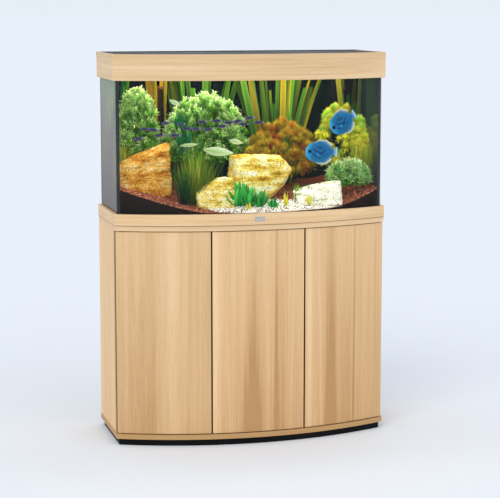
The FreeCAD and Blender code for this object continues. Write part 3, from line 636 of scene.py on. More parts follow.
def tree_of(name):
    mesh = nodes[name].data
    mesh.calc_loop_triangles()
    return BVHTree.FromPolygons([vertex.co.copy() for vertex in mesh.vertices],
                                [tuple(face.vertices) for face in mesh.loop_triangles])


PANE_TREE = tree_of("front_glass")


@functools.lru_cache(maxsize=None)
def front_limit(millimetres):
    """The y just behind the front pane, at x in whole millimetres."""
    hit = PANE_TREE.ray_cast(Vector((millimetres / 1000, 0, 1.0)), Vector((0, -1, 0)))[0]
    return (hit.y if hit else -0.09) + GLASS_GAP


def kept_inside(point):
    x = max(-LIMIT_X, min(LIMIT_X, point[0]))
    y = min(LIMIT_BACK, max(front_limit(round(x * 1000)), point[1]))
    return x, y, min(LIMIT_TOP, point[2])


BED_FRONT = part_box("gravel_bed")[0].y
BED_RISE = 0.19
PATCH_LOW, PATCH_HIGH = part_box("sand_patch")
PATCH_MIDDLE = ((PATCH_LOW.x + PATCH_HIGH.x) / 2, -0.132)
PATCH_REACH = ((PATCH_HIGH.x - PATCH_LOW.x) / 2, 0.074)


def ground(x, y):
    """The gravel's height: it rises to the back, with a bank at each side."""
    left_bank = 0.062 * max(0.0, (-0.170 - x) / 0.275) ** 1.25
    right_bank = 0.042 * max(0.0, (x - 0.270) / 0.175) ** 1.4
    return 0.767 + BED_RISE * (y - BED_FRONT) + left_bank + right_bank


def in_patch(x, y):
    """Below 1 inside the pale patch's ellipse."""
    return math.hypot((x - PATCH_MIDDLE[0]) / PATCH_REACH[0], (y - PATCH_MIDDLE[1]) / PATCH_REACH[1])


ROOTED = 0.004      # how far a plant's foot stands in the gravel


def on_ground(x, y):
    return Vector((x, y, ground(x, y) - ROOTED))


# ---------------------------------------------------------------------- gravel
ICO = bmesh.new()
bmesh.ops.create_icosphere(ICO, subdivisions=1, radius=1.0)
PEBBLE_POINTS = [vertex.co.copy() for vertex in ICO.verts]
PEBBLE_FACES = [tuple(vertex.index for vertex in face.verts) for face in ICO.faces]
ICO.free()


def add_pebble(shape, place, size, tint, dice):
    turn = Euler([dice.uniform(0, math.tau) for _ in range(3)]).to_matrix()
    squash = Vector((dice.uniform(0.7, 1.2), dice.uniform(0.6, 1.0), dice.uniform(0.5, 0.8)))
    points = [place + turn @ Vector([c * s for c, s in zip(point, squash)]) * size
              for point in PEBBLE_POINTS]
    shape.add(points, PEBBLE_FACES, [tint] * len(points))


def grit_material(name, glow):
    """Gravel: each grain's own tint, speckled and rough."""
    make = Maker(name, 0.7)
    tint = make.node("VertexColor", 0, layer_name="tint")
    grain = make.noise(make.coordinate(), 700.0, 3)
    colour = make.mix(0.6, tint, make.ramp(grain, [(0.3, 0.55), (0.7, 1.2)]), "MULTIPLY")
    make.under_water_glowing(colour, glow)
    make.bump(grain, 0.4, 0.0005)
    return make.material


RED_GRAVEL = [srgb(168, 88, 62), srgb(132, 62, 44), srgb(206, 124, 86), srgb(64, 30, 22),
              srgb(160, 104, 90), srgb(232, 164, 116)]
WHITE_GRAVEL = [srgb(250, 248, 238), srgb(242, 236, 220), srgb(252, 252, 250), srgb(228, 214, 180),
                srgb(250, 248, 238), srgb(240, 236, 226), srgb(70, 66, 60), srgb(160, 150, 130)]
BED_TINT = srgb(128, 62, 44)
WALL_TINT = srgb(4, 3, 3)
RIM_TINT = blend_colour(BED_TINT, WALL_TINT, 0.94)
PATCH_TINT = srgb(236, 230, 214)


def bed_surface():
    """The gravel's top as a rippled sheet, with a dark wall down the front pane."""
    shape = Shape()
    columns, rows = 260, 110
    floor_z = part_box("gravel_bed")[0].z
    for column in range(columns + 1):
        x = -LIMIT_X + 2 * LIMIT_X * column / columns
        front = front_limit(round(x * 1000))
        for row in range(rows + 1):
            y = front + (LIMIT_BACK - front) * (row / rows) ** 1.3
            ripple = noise.fractal(Vector((x * 55, y * 55, 0)), 0.9, 2.0, 4) * 0.0022
            shape.points.append((x, y, ground(x, y) + ripple))
            shape.tints.append(BED_TINT)
        edge = ground(x, front) - 0.0015
        for level in (edge, edge, floor_z):
            shape.points.append((x, front, level))
            shape.tints.append(WALL_TINT if level == floor_z else RIM_TINT)
    stride = rows + 4
    for column in range(columns):
        for row in range(rows):
            a = column * stride + row
            shape.faces.append((a, a + stride, a + stride + 1, a + 1))
        a = column * stride + rows + 1
        shape.faces.append((a, a + 2, a + stride + 2, a + stride))
    return shape


def patch_surface():
    """The pale patch: a thin lens of light gravel lying on the bed."""
    shape = Shape()
    spokes, rings = 120, 26
    for spoke in range(spokes):
        angle = math.tau * spoke / spokes
        wander = 1 + 0.10 * noise.noise(Vector((math.cos(angle) * 2, math.sin(angle) * 2, 4)))
        for ring in range(rings + 1):
            s = ring / rings * wander
            x = PATCH_MIDDLE[0] + math.cos(angle) * PATCH_REACH[0] * s
            y = PATCH_MIDDLE[1] + math.sin(angle) * PATCH_REACH[1] * s
            x, y, _ = kept_inside((x, y, 0))
            ripple = noise.fractal(Vector((x * 60, y * 60, 7)), 0.9, 2.0, 4) * 0.002
            lift = 0.0045 * (1 - (ring / rings) ** 4) - 0.0015
            shape.points.append((x, y, ground(x, y) + ripple + lift))
            shape.tints.append(blend_colour(PATCH_TINT, BED_TINT, (ring / rings - 0.85) * 6))
    for spoke in range(spokes):
        after = (spoke + 1) % spokes
        for ring in range(rings):
            a, b = spoke * (rings + 1) + ring, after * (rings + 1) + ring
            shape.faces.append((a, a + 1, b + 1, b))
    return shape


RED_GRAINS, WHITE_GRAINS = 8000, 4200


def add_gravel():
    """The two surfaces, strewn with loose grains."""
    dice = random.Random("gravel")
    bed = bed_surface()
    for _ in range(RED_GRAINS):
        x = dice.uniform(-LIMIT_X, LIMIT_X)
        front = front_limit(round(x * 1000))
        y = front + 0.001 + dice.random() ** 1.8 * 0.24
        if in_patch(x, y) > 0.97 or dice.random() < 0.05:
            size = dice.uniform(0.0016, 0.0034)
            lift = 0.004 if in_patch(x, y) < 0.97 else 0.0
            add_pebble(bed, Vector((x, y, ground(x, y) + lift)), size,
                       shaded(dice.choice(RED_GRAVEL), dice, 0.35), dice)
    bed.piece("gravel_surface", grit_material("gravel_surface", 0.10), ["gravel_bed"], "gravel_brown")
    patch = patch_surface()
    for _ in range(WHITE_GRAINS):
        x = PATCH_MIDDLE[0] + dice.uniform(-1, 1) * PATCH_REACH[0]
        y = PATCH_MIDDLE[1] + dice.uniform(-1, 1) * PATCH_REACH[1]
        if in_patch(x, y) < 1 and y > front_limit(round(x * 1000)):
            size = dice.uniform(0.0018, 0.0036)
            add_pebble(patch, Vector((x, y, ground(x, y) + 0.003)), size,
                       shaded(dice.choice(WHITE_GRAVEL), dice, 0.05), dice)
    patch.piece("pale_gravel", grit_material("pale_gravel", 0.30), ["sand_patch"], "sand_white")


# ---------------------------------------------------------------------- stones
def stone_material(name, colours, tilt, pit_shade_strength=0.5, glow=0.06):
    """Bedded stone: tilted layers of colour, blotches, and painted shade in pits and cracks."""
    make = Maker(name, 0.85)
    place = make.coordinate()
    turned = make.node("Mapping", 0, {"Vector": place, "Rotation": (0, tilt, 0), "Scale": (9, 9, 60)})
    layers = make.noise(turned, 1.0, 4, 0.6)
    blotch = make.noise(place, 26.0, 4, 0.6)
    fine = make.noise(place, 210.0, 4, 0.7)
    dark, middle, bright, pale = colours
    tone = make.math("MULTIPLY_ADD", layers, 0.5, make.math("MULTIPLY", blotch, 0.5))
    colour = make.ramp(tone, [(0.36, dark), (0.44, middle), (0.53, bright), (0.64, pale)])
    # painted shade: dark spots and streaks along the bedding stand for the shade in pits and cracks
    pit_shade = make.ramp(make.voronoi(turned, 2.4), [(0.08, 0.12), (0.34, 1.0)])
    colour = make.mix(pit_shade_strength, colour, pit_shade, "MULTIPLY")
    colour = make.mix(0.8, colour, make.ramp(fine, [(0.38, 0.30), (0.56, 1.15)]), "MULTIPLY")
    make.under_water_glowing(colour, glow)
    height = make.math("MULTIPLY_ADD", layers, 0.6, fine)
    make.bump(height, 0.9, 0.004)
    return make.material


BLOCKINESS = 9      # how square a rock is before its cuts; 2 would be round


def stone(name, node, planes, material, tilt, seed, ledge=0.0045, grow=1.02):
    """A rock filling the CAD node's box, cut by planes given in half-box units.

    tilt turns its bedding and seed its roughness; ledge is how far the beds stand proud,
    and grow scales it to make up for the cuts.
    """
    low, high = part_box(node)
    centre = (low + high) / 2
    half = (high - low) / 2 * grow
    ball = bmesh.new()
    bmesh.ops.create_icosphere(ball, subdivisions=6 if node == "rock_left" else 5, radius=1.0)
    cuts = [(Vector(normal).normalized(), offset) for normal, offset in planes]
    bedding = Vector((math.sin(tilt), 0, math.cos(tilt)))
    for vertex in ball.verts:
        direction = vertex.co.normalized()
        blocky = sum(abs(c) ** BLOCKINESS for c in direction) ** (-1 / BLOCKINESS)
        point = direction * blocky
        for normal, offset in cuts:
            beyond = point.dot(normal) - offset
            if beyond > 0:
                point -= normal * beyond
        place = centre + Vector([p * h for p, h in zip(point, half)])
        across = place.dot(bedding)
        layer = noise.noise(Vector((across * 150 + seed, place.x * 9, place.y * 9)))
        rough = noise.fractal(place * 60, 0.8, 2.1, 4)
        lumps = noise.noise(place * 22 + Vector((seed, 0, 0)))
        chips = noise.noise(place * 130 + Vector((0, seed, 0)))
        shift = layer * ledge + rough * 0.0026 + lumps * 0.005 + min(0, chips) * 0.004
        vertex.co = kept_inside(place + direction * shift)
    mesh = bpy.data.meshes.new(name)
    ball.to_mesh(mesh)
    ball.free()
    placed(name, mesh, material, [node])


def add_stones():
    ochre = (srgb(110, 58, 14), srgb(204, 128, 34), srgb(242, 180, 70), srgb(254, 224, 150))
    cream = (srgb(150, 104, 18), srgb(226, 184, 52), srgb(252, 234, 138), srgb(255, 253, 226))
    chalk = (srgb(120, 124, 90), srgb(226, 224, 190), srgb(250, 248, 226), srgb(254, 254, 246))
    stone("left_stone", "rock_left",
          [((-0.40, -0.10, 0.92), 0.50), ((1, -0.05, 0.02), 0.90), ((-0.9, -0.3, 0.35), 0.86),
           ((0.1, -1, 0.30), 0.70), ((-0.25, -0.8, 0.6), 0.84)],
          stone_material("left_stone", ochre, 0.45, 0.6, 0.12), -0.45, 3.1)
    stone("low_stone", "rock_low",
          [((-0.60, -0.1, 0.80), 0.62), ((0.99, -0.1, 0.05), 0.84), ((-0.3, -0.8, 0.5), 0.72)],
          stone_material("low_stone", cream, 0.5, 0.7, 0.2), -0.55, 7.4, 0.005, 1.06)
    stone("centre_stone", "rock_centre",
          [((0.06, -0.1, 1), 0.90), ((-0.98, -0.1, 0.1), 0.90), ((0.80, -0.1, 0.60), 1.02),
           ((0.86, -0.2, -0.50), 0.74), ((0.05, -0.92, 0.4), 0.74), ((0.45, -0.85, -0.1), 0.80),
           ((-0.5, -0.7, 0.5), 0.92)],
          stone_material("centre_stone", cream, -0.4, 0.5, 0.2), 0.35, 12.9)
    stone("right_stone", "rock_right",
          [((-0.42, -0.1, 0.90), 0.52), ((0.0, -0.2, 1), 0.90), ((0.97, -0.2, 0.1), 0.90),
           ((-0.1, -0.8, 0.6), 0.66), ((-0.8, -0.3, 0.5), 0.80)],
          stone_material("right_stone", chalk, 0.3, 0.45, 0.35), -0.3, 21.3, 0.004, 1.06)


def add_wood_stem():
    """A dark root stump: tapered, slightly bent, with ridged bark, a paler broken rim, and painted
    light on its side facing -X.
    """
    low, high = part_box("wood_stem")
    shape = Shape()
    rings, sides = 70, 28
    dark, brown, rim = srgb(8, 5, 3), srgb(62, 36, 12), srgb(82, 50, 18)
    height = high.z - low.z
    for ring in range(rings + 1):
        t = ring / rings
        middle = Vector(((low.x + high.x) / 2 + 0.004 * math.sin(t * 5), (low.y + high.y) / 2, 0))
        for side in range(sides):
            angle = math.tau * side / sides
            bark = noise.noise(Vector((math.cos(angle) * 3, math.sin(angle) * 3, t * 5)))
            radius = 0.0125 - 0.003 * t + 0.0022 * bark + 0.0008 * math.cos(angle * 7)
            lip = 0.004 * noise.noise(Vector((math.cos(angle) * 2, math.sin(angle) * 2, 9)))
            point = middle + Vector((math.cos(angle), math.sin(angle), 0)) * radius
            point.z = low.z - 0.03 + t * (height + 0.03) + lip * t
            # painted light: the side facing -X is lighter, as if lit from the left
            painted_light = max(0, -math.cos(angle)) * 0.8
            tint = blend_colour(dark, brown, painted_light + 0.25 * bark)
            shape.points.append(tuple(point))
            shape.tints.append(rim if t > 0.985 else tint)
    shape.faces += tube_faces(rings, sides)
    shape.faces.append(tuple(rings * sides + side for side in range(sides)))
    shape.piece("root_stump", leaf_material("root_stump", 0.8, 0.5, 0.0), ["wood_stem"], "wood_root")


# ---------------------------------------------------------------------- plants
def palette(*levels):
    """8-bit sRGB colours of a leaf's foot, middle and tip; a fourth tints its margins."""
    foot, body, tip, edge = ([srgb(*level) for level in levels] + [None])[:4]

    def colours(t, margin=False):
        colour = blend_colour(foot, body, t * 2) if t < 0.5 else blend_colour(body, tip, t * 2 - 1)
        return blend_colour(colour, edge, 0.8) if margin and edge else colour
    return colours


def varied(colours, dice, spread=0.18, light=1.0):
    """The same colours, shifted at random in each channel and scaled by light."""
    factor = [light * (1 + dice.uniform(-spread, spread)) for _ in range(3)]
    def changed(t, margin=False):
        return tuple(min(1, channel * f) for channel, f in zip(colours(t, margin), factor))
    return changed


def leafy_sprig(shape, foot, direction, length, whorls, per_whorl, size, inner, outer, dice):
    """A stem tip: whorls of small leaves, the last ones an open star in the outer colours."""
    direction = direction.normalized()
    side = direction.orthogonal().normalized()
    light = dice.uniform(0.65, 1.25)
    for whorl in range(whorls):
        t = (whorl + 1) / whorls
        place = foot + direction * (length * t)
        reach = size * (1.0 + 0.15 * t)
        shades = outer if whorl >= whorls - 2 else inner
        for number in range(per_whorl):
            turn = math.tau * (number + whorl * 0.5) / per_whorl + dice.uniform(-0.35, 0.35)
            outward = Matrix.Rotation(turn, 3, direction) @ side
            heading = outward + direction * (0.15 + 0.5 * t)
            leaf(shape, place, heading, reach * dice.uniform(0.75, 1.2), reach * 0.26,
                 dice.uniform(-0.2, 0.6), varied(shades, dice, 0.16, light), steps=3, fold=0.25)


def shell_points(low, high, count, dice, grow=1.0, lowest=-0.3):
    """Points and outward directions over the upper part of a box, as an ellipsoid."""
    centre = (low + high) / 2
    half = (high - low) / 2 * grow
    found = []
    while len(found) < count:
        direction = Vector([dice.gauss(0, 1) for _ in range(3)]).normalized()
        if direction.z > lowest and direction.y < 0.55:
            scale = dice.uniform(0.72, 1.0)
            found.append((centre + Vector([d * h * scale for d, h in zip(direction, half)]), direction))
    return found


def bush(name, node, count, size, colours, slot, seed, grow=1.0, lowest=-0.35):
    """A cushion of leafy sprigs over the CAD node's volume.

    colours are deep, middle and tip; as painted light from above, the higher a sprig, the likelier it
    is pale.
    """
    dice = random.Random(seed)
    low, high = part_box(node)
    shape = Shape()
    for place, direction in shell_points(low, high, count, dice, grow, lowest):
        # painted light: the higher a sprig, the likelier it takes the paler colours
        painted_light = (place.z - low.z) / (high.z - low.z)
        inner, outer = (colours[1], colours[2]) if dice.random() < painted_light else (colours[0], colours[1])
        heading = direction + Vector((0, -0.25, 0.55))
        leafy_sprig(shape, place - heading.normalized() * 0.024, heading, 0.030, 5, 5, size,
                    inner, outer, dice)
    shape.piece(name, leaf_material(name, 0.4, 0.2, 0.09), [node], slot)


def pompon(shape, place, radius, needles, width, colours, light, dice):
    """A feathery whorled head: needles out of one point in all upward directions."""
    for _ in range(needles):
        direction = Vector([dice.gauss(0, 1) for _ in range(3)]).normalized()
        direction.z = direction.z * 0.8 + 0.35
        length = radius * dice.uniform(0.7, 1.08)
        leaf(shape, place - Vector((0, 0, radius * 0.3)), direction, length, width,
             dice.uniform(0.2, 0.7), varied(colours, dice, 0.22, light), steps=2, fold=0.1, belly=0.6)


def feathery(name, node, heads, radius, needles, width, shades, slot, seed, extra=(), glow=0.16):
    """Feathery heads over the CAD node's box and over extra boxes, given as two corners."""
    dice = random.Random(seed)
    shape = Shape()
    for low, high, count in [(*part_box(node), heads), *extra]:
        for place, _ in shell_points(Vector(low), Vector(high), count, dice, 1.0, -0.6):
            light = dice.uniform(0.6, 1.15)
            pompon(shape, place, radius * dice.uniform(0.75, 1.2), needles, width,
                   dice.choice(shades), light, dice)
    shape.piece(name, leaf_material(name, 0.45, 0.1, glow), [node], slot)


GRASS_GREEN = palette((10, 50, 16), (60, 130, 34), (150, 190, 60))
STRAP_GREEN = palette((4, 44, 18), (26, 100, 28), (78, 126, 30), (106, 150, 50))
STRAP_DARK = palette((2, 20, 10), (6, 58, 22), (16, 80, 28), (30, 92, 38))
STRAP_GOLD = palette((40, 64, 12), (130, 124, 20), (176, 138, 22), (190, 164, 46))
STRAP_OLIVE = palette((30, 56, 12), (90, 98, 20), (126, 112, 24), (106, 130, 40))


def strap(shape, foot_x, top_x, top_z, width, colours, y, bend, blunt=True):
    """A ribbon leaf from the bed to its top, arched sideways by bend, slowly turning."""
    foot = on_ground(foot_x, y)
    top = Vector((top_x, y + 0.012, top_z))
    reach = (top - foot).length
    sag = Matrix.Rotation(bend / 2, 3, "Y") @ (top - foot).normalized()
    steps = 14
    points, tints = [], []
    for step in range(steps + 1):
        t = step / steps
        middle = foot.lerp(top, t) + (sag * reach * t * (1 - t) * 0.6 if bend else Vector())
        middle.z = foot.z + (top.z - foot.z) * t
        point = 1 if blunt or t < 0.7 else (1 - t) / 0.3 * 0.95 + 0.05
        half = width / 2 * (0.55 + 0.45 * min(1, t * 3)) * point
        turn = 0.8 * math.sin(t * 3 + foot_x * 90)
        across = Vector((math.cos(turn), math.sin(turn), 0)) * half
        rib = Vector((0, 0.25 * half, 0))
        points += [middle - across, middle + rib, middle + across]
        tints += [colours(t, True), colours(t), colours(t, True)]
    shape.add(points, ribbon_faces(steps), tints)


# stands of ribbon leaves: foot x, half width at the foot, left and right edge at the
# surface, number of leaves, y, colours to choose from
STANDS = [
    (-0.415, 0.012, -0.432, -0.350, 7, 0.140, [STRAP_DARK, STRAP_DARK, STRAP_GREEN]),
    (-0.262, 0.012, -0.325, -0.225, 8, 0.140, [STRAP_GOLD, STRAP_OLIVE, STRAP_GREEN]),
    (-0.120, 0.045, -0.240, 0.040, 20, 0.140, [STRAP_GREEN] * 4 + [STRAP_GOLD, STRAP_OLIVE]),
    (0.150, 0.050, 0.000, 0.330, 24, 0.140, [STRAP_GREEN] * 4 + [STRAP_OLIVE, STRAP_GOLD]),
    (0.392, 0.018, 0.345, 0.437, 9, 0.058, [STRAP_DARK, STRAP_GREEN, STRAP_OLIVE]),
]


def add_tall_leaves():
    """Ribbon leaves behind everything, fanning out of their stands up to the surface."""
    dice = random.Random("straps")
    shape = Shape()
    for foot_x, half_foot, left, right, count, y, choices in STANDS:
        for number in range(count):
            share = (number + dice.uniform(0, 1)) / count
            top_x = left + (right - left) * share
            lean = top_x - foot_x
            top_z = LIMIT_TOP if dice.random() < 0.7 else dice.uniform(1.09, 1.16)
            strap(shape, foot_x + half_foot * (share * 2 - 1), top_x, top_z,
                  dice.uniform(0.009, 0.022),
                  varied(dice.choice(choices), dice, 0.2, dice.uniform(0.3, 1.0)),
                  y + dice.uniform(-0.022, 0.012), dice.uniform(-0.2, 0.2) - lean * 5)
        for _ in range(count):
            near_x = foot_x + dice.uniform(-2, 2) * half_foot
            strap(shape, near_x, near_x + dice.uniform(-0.05, 0.05), dice.uniform(1.00, 1.16),
                  dice.uniform(0.006, 0.012), varied(STRAP_DARK, dice, 0.2),
                  min(0.172, y + dice.uniform(0.005, 0.032)), dice.uniform(-0.5, 0.5), False)
    shape.piece("ribbon_leaves", leaf_material("ribbon_leaves", 0.35, 0.3, 0.05),
                ["tall_leaves"], "plant_green")


def grass_clump(shape, x, y, blades, low, high, spread, width, colours, dice):
    """Thin blades fanning out of one foot, each a different brightness."""
    for _ in range(blades):
        foot = on_ground(x + dice.gauss(0, spread * 0.16), y + dice.gauss(0, 0.008))
        lean = dice.gauss(0.12, 0.75)
        heading = Vector((lean * spread * 13, dice.uniform(-0.3, 0.15), 1))
        leaf(shape, foot, heading, dice.uniform(low, high), width * dice.uniform(0.7, 1.2),
             dice.uniform(0.1, 1.0), varied(colours, dice, 0.2, dice.uniform(0.4, 1.5)),
             steps=7, fold=0.1, belly=0.3)


def add_grasses():
    dice = random.Random("grass")
    dark = palette((4, 26, 10), (14, 74, 26), (70, 132, 34))
    gold = palette((20, 36, 6), (104, 132, 18), (214, 206, 74))
    shape = Shape()
    grass_clump(shape, -0.230, -0.098, 170, 0.09, 0.15, 0.040, 0.0026, dark, dice)
    grass_clump(shape, -0.196, -0.088, 330, 0.09, 0.17, 0.060, 0.0020, gold, dice)
    grass_clump(shape, -0.180, -0.056, 220, 0.14, 0.20, 0.050, 0.0020, GRASS_GREEN, dice)
    shape.piece("hair_grass_blades", leaf_material("hair_grass_blades", 0.45, 0.1, 0.08),
                ["hair_grass"], "plant_green")
    edge = Shape()
    grass_clump(edge, -0.405, 0.035, 420, 0.08, 0.15, 0.035, 0.0018, gold, dice)
    grass_clump(edge, 0.418, 0.000, 420, 0.09, 0.17, 0.028, 0.0020, gold, dice)
    grass_clump(edge, 0.165, -0.075, 150, 0.03, 0.07, 0.040, 0.0030, GRASS_GREEN, dice)
    grass_clump(edge, 0.205, -0.080, 150, 0.03, 0.07, 0.040, 0.0030, dark, dice)
    edge.piece("edge_grasses", leaf_material("edge_grasses", 0.45, 0.1, 0.12), None, "plant_green")


def add_broad_leaves():
    """The rosette at the front, pale lances with dark broad leaves, and small sprouts."""
    dice = random.Random("broad")
    bright = palette((8, 90, 30), (22, 160, 52), (110, 204, 96), (60, 180, 80))
    shape = Shape()
    for x, y, count, reach in ((-0.052, -0.114, 44, 0.082), (-0.018, -0.120, 50, 0.072),
                               (0.022, -0.126, 40, 0.058), (0.060, -0.138, 16, 0.040)):
        for number in range(count):
            turn = math.tau * number / count + dice.uniform(-0.2, 0.2)
            steep = dice.uniform(0.15, 1.8)
            heading = Vector((math.cos(turn), math.sin(turn) * 0.7, steep))
            leaf(shape, on_ground(x, y), heading, reach * dice.uniform(0.7, 1.25),
                 reach * dice.uniform(0.15, 0.24), dice.uniform(0.3, 1.5),
                 varied(bright, dice, 0.2, dice.uniform(0.4, 1.3)),
                 steps=8, fold=0.35, belly=0.55, twist=dice.uniform(-0.5, 0.5))
    shape.piece("rosette_leaves", leaf_material("rosette_leaves", 0.35, 0.3, 0.14),
                ["leaf_rosette"], "plant_green")
    pale = palette((150, 190, 90), (176, 214, 140), (226, 240, 190), (244, 250, 224))
    shade = palette((4, 40, 20), (10, 92, 44), (24, 120, 60), (30, 110, 60))
    lances = Shape()
    for foot, heading, length, width in (
            ((-0.145, -0.020, 0.962), (0.9, -0.15, -0.20), 0.105, 0.034),
            ((-0.222, -0.010, 0.976), (1.0, -0.1, -0.02), 0.065, 0.014),
            ((-0.252, 0.010, 1.126), (0.8, -0.1, -0.50), 0.042, 0.017),
            ((-0.052, 0.000, 0.990), (0.9, -0.1, -0.30), 0.050, 0.020),
            ((0.000, -0.128, 0.800), (0.3, -0.2, 0.9), 0.050, 0.014)):
        leaf(lances, Vector(foot), heading, length, width, 0.35, varied(pale, dice, 0.06),
             steps=12, fold=0.15, belly=0.45, twist=-1.15)
    for _ in range(14):
        foot = Vector((dice.uniform(-0.225, -0.185), dice.uniform(0.0, 0.04),
                       dice.uniform(0.93, 1.04)))
        heading = Vector((dice.uniform(-0.5, 0.5), -0.6, dice.uniform(0.2, 1.0)))
        leaf(lances, foot, heading, dice.uniform(0.04, 0.07), dice.uniform(0.012, 0.02), 0.8,
             varied(shade, dice, 0.2), steps=8, fold=0.25, belly=0.5)
    lances.piece("lance_leaves", leaf_material("lance_leaves", 0.4, 0.2, 0.14), None, "plant_light")
    sprouts = Shape()
    gold = palette((150, 150, 20), (214, 204, 40), (246, 232, 90))
    for x, y, low, high, count in ((0.187, -0.135, 0.022, 0.048, 26), (0.107, -0.130, 0.03, 0.062, 9),
                                   (-0.024, -0.155, 0.018, 0.034, 12)):
        for _ in range(count):
            heading = Vector((dice.uniform(-0.35, 0.35), dice.uniform(-0.3, 0.1), 1))
            leaf(sprouts, on_ground(x + dice.gauss(0, 0.003), y), heading, dice.uniform(low, high),
                 0.005, 0.4, varied(gold, dice, 0.15), steps=5, fold=0.2)
    sprouts.piece("small_sprouts", leaf_material("small_sprouts", 0.4, 0.1, 0.15), None, "plant_yellow")


def add_plants():
    deep = palette((2, 26, 4), (18, 88, 10), (72, 148, 24))
    green = palette((8, 62, 8), (74, 160, 24), (168, 218, 60))
    white = palette((70, 160, 24), (194, 230, 104), (255, 255, 240))
    shade = palette((2, 28, 6), (16, 84, 14), (66, 142, 40))
    lush = palette((6, 60, 10), (60, 150, 30), (150, 212, 80))
    silver = palette((50, 140, 30), (172, 220, 100), (255, 255, 236))
    bush("left_bush", "bush_left", 420, 0.0125, (deep, green, white), "plant_light", "left bush", 1.12)
    bush("middle_bush", "bush_middle", 600, 0.0125, (deep, green, white), "plant_light",
         "middle bush", 1.08)
    bush("low_bush", "low_bush_right", 230, 0.0165, (shade, lush, silver), "plant_light",
         "low bush", 1.05, -0.2)
    rust = palette((60, 30, 4), (176, 108, 18), (232, 168, 56))
    olive = palette((50, 42, 6), (160, 132, 20), (226, 204, 72))
    wine = palette((40, 16, 4), (134, 70, 14), (196, 116, 36))
    gold = palette((80, 96, 8), (210, 206, 26), (255, 248, 110))
    lime = palette((50, 100, 14), (140, 190, 34), (214, 236, 110))
    feathery("brown_heads", "brown_plants", 170, 0.025, 100, 0.0027, [rust, olive, olive, wine],
             "plant_brown", "brown", [((0.02, 0.02, 0.90), (0.16, 0.06, 0.99), 22)], 0.22)
    feathery("yellow_heads", "yellow_plants", 120, 0.022, 100, 0.0032, [gold, lime, gold],
             "plant_yellow", "yellow", [((0.39, 0.0, 0.90), (0.437, 0.06, 1.06), 30)], 0.24)
    add_tall_leaves()
    add_grasses()
    add_broad_leaves()


# ------------------------------------------------------------------------ fish
def fish_frame(place, pitch, yaw):
    """Fish face -X; pitch turns the nose down, yaw turns it towards the front."""
    turn = Euler((0, math.radians(pitch), 0)).to_matrix()
    return Matrix.Translation(place) @ (Matrix.Rotation(math.radians(yaw), 3, "Z") @ turn).to_4x4()


def add_body(shape, frame, length, half_height, half_width, tint, rings, sides):
    """A closed body from nose to tail root; the two half sizes are functions along it."""
    points, tints = [], []
    for ring in range(rings + 1):
        t = ring / rings
        for side in range(sides):
            angle = math.tau * side / sides
            local = Vector((-length / 2 + length * t, half_width(t) * math.cos(angle),
                            half_height(t) * math.sin(angle)))
            points.append(frame @ local)
            tints.append(tint(t, math.sin(angle)))
    ends = [tuple(range(sides))[::-1], tuple(rings * sides + side for side in range(sides))]
    shape.add(points, tube_faces(rings, sides) + ends, tints)


FIN_THICKNESS = 0.0006


def add_fin(shape, frame, root, edge, inner, outer):
    """A rayed fin between two lines of points (x, z), a little thick, scalloped at its edge."""
    count = 14
    points, tints, faces = [], [], []
    for step in range(count + 1):
        t = step / count
        for row in range(4):
            s = row / 3
            reach = s * (0.94 + 0.06 * math.cos(step * math.pi))
            x, z = ((1 - reach) * a + reach * b for a, b in zip(along(root, t), along(edge, t)))
            for face in (-1, 1):
                points.append(frame @ Vector((x, face * FIN_THICKNESS * (1.2 - s), z)))
                tints.append(blend_colour(inner, outer, s ** 2))
    for step in range(count):
        for row in range(3):
            for face in (0, 1):
                a = (step * 4 + row) * 2 + face
                faces.append((a, a + 2, a + 10, a + 8) if face else (a + 8, a + 10, a + 2, a))
    shape.add(points, faces, tints)


def along(line, t):
    """The point at share t of a line of points."""
    place = t * (len(line) - 1)
    index = min(int(place), len(line) - 2)
    rest = place - index
    return [a + (b - a) * rest for a, b in zip(line[index], line[index + 1])]


def add_eye(shape, frame, x, z, y, radius, ring_colour):
    for side in (-1, 1):
        for size, depth, tint in ((1.5, 0.35, ring_colour), (1.0, 0.75, srgb(8, 8, 14))):
            points = [frame @ Vector((x + p.x * radius * size, side * y + p.y * radius * depth,
                                      z + p.z * radius * size)) for p in PEBBLE_POINTS]
            shape.add(points, PEBBLE_FACES, [tint] * len(points))


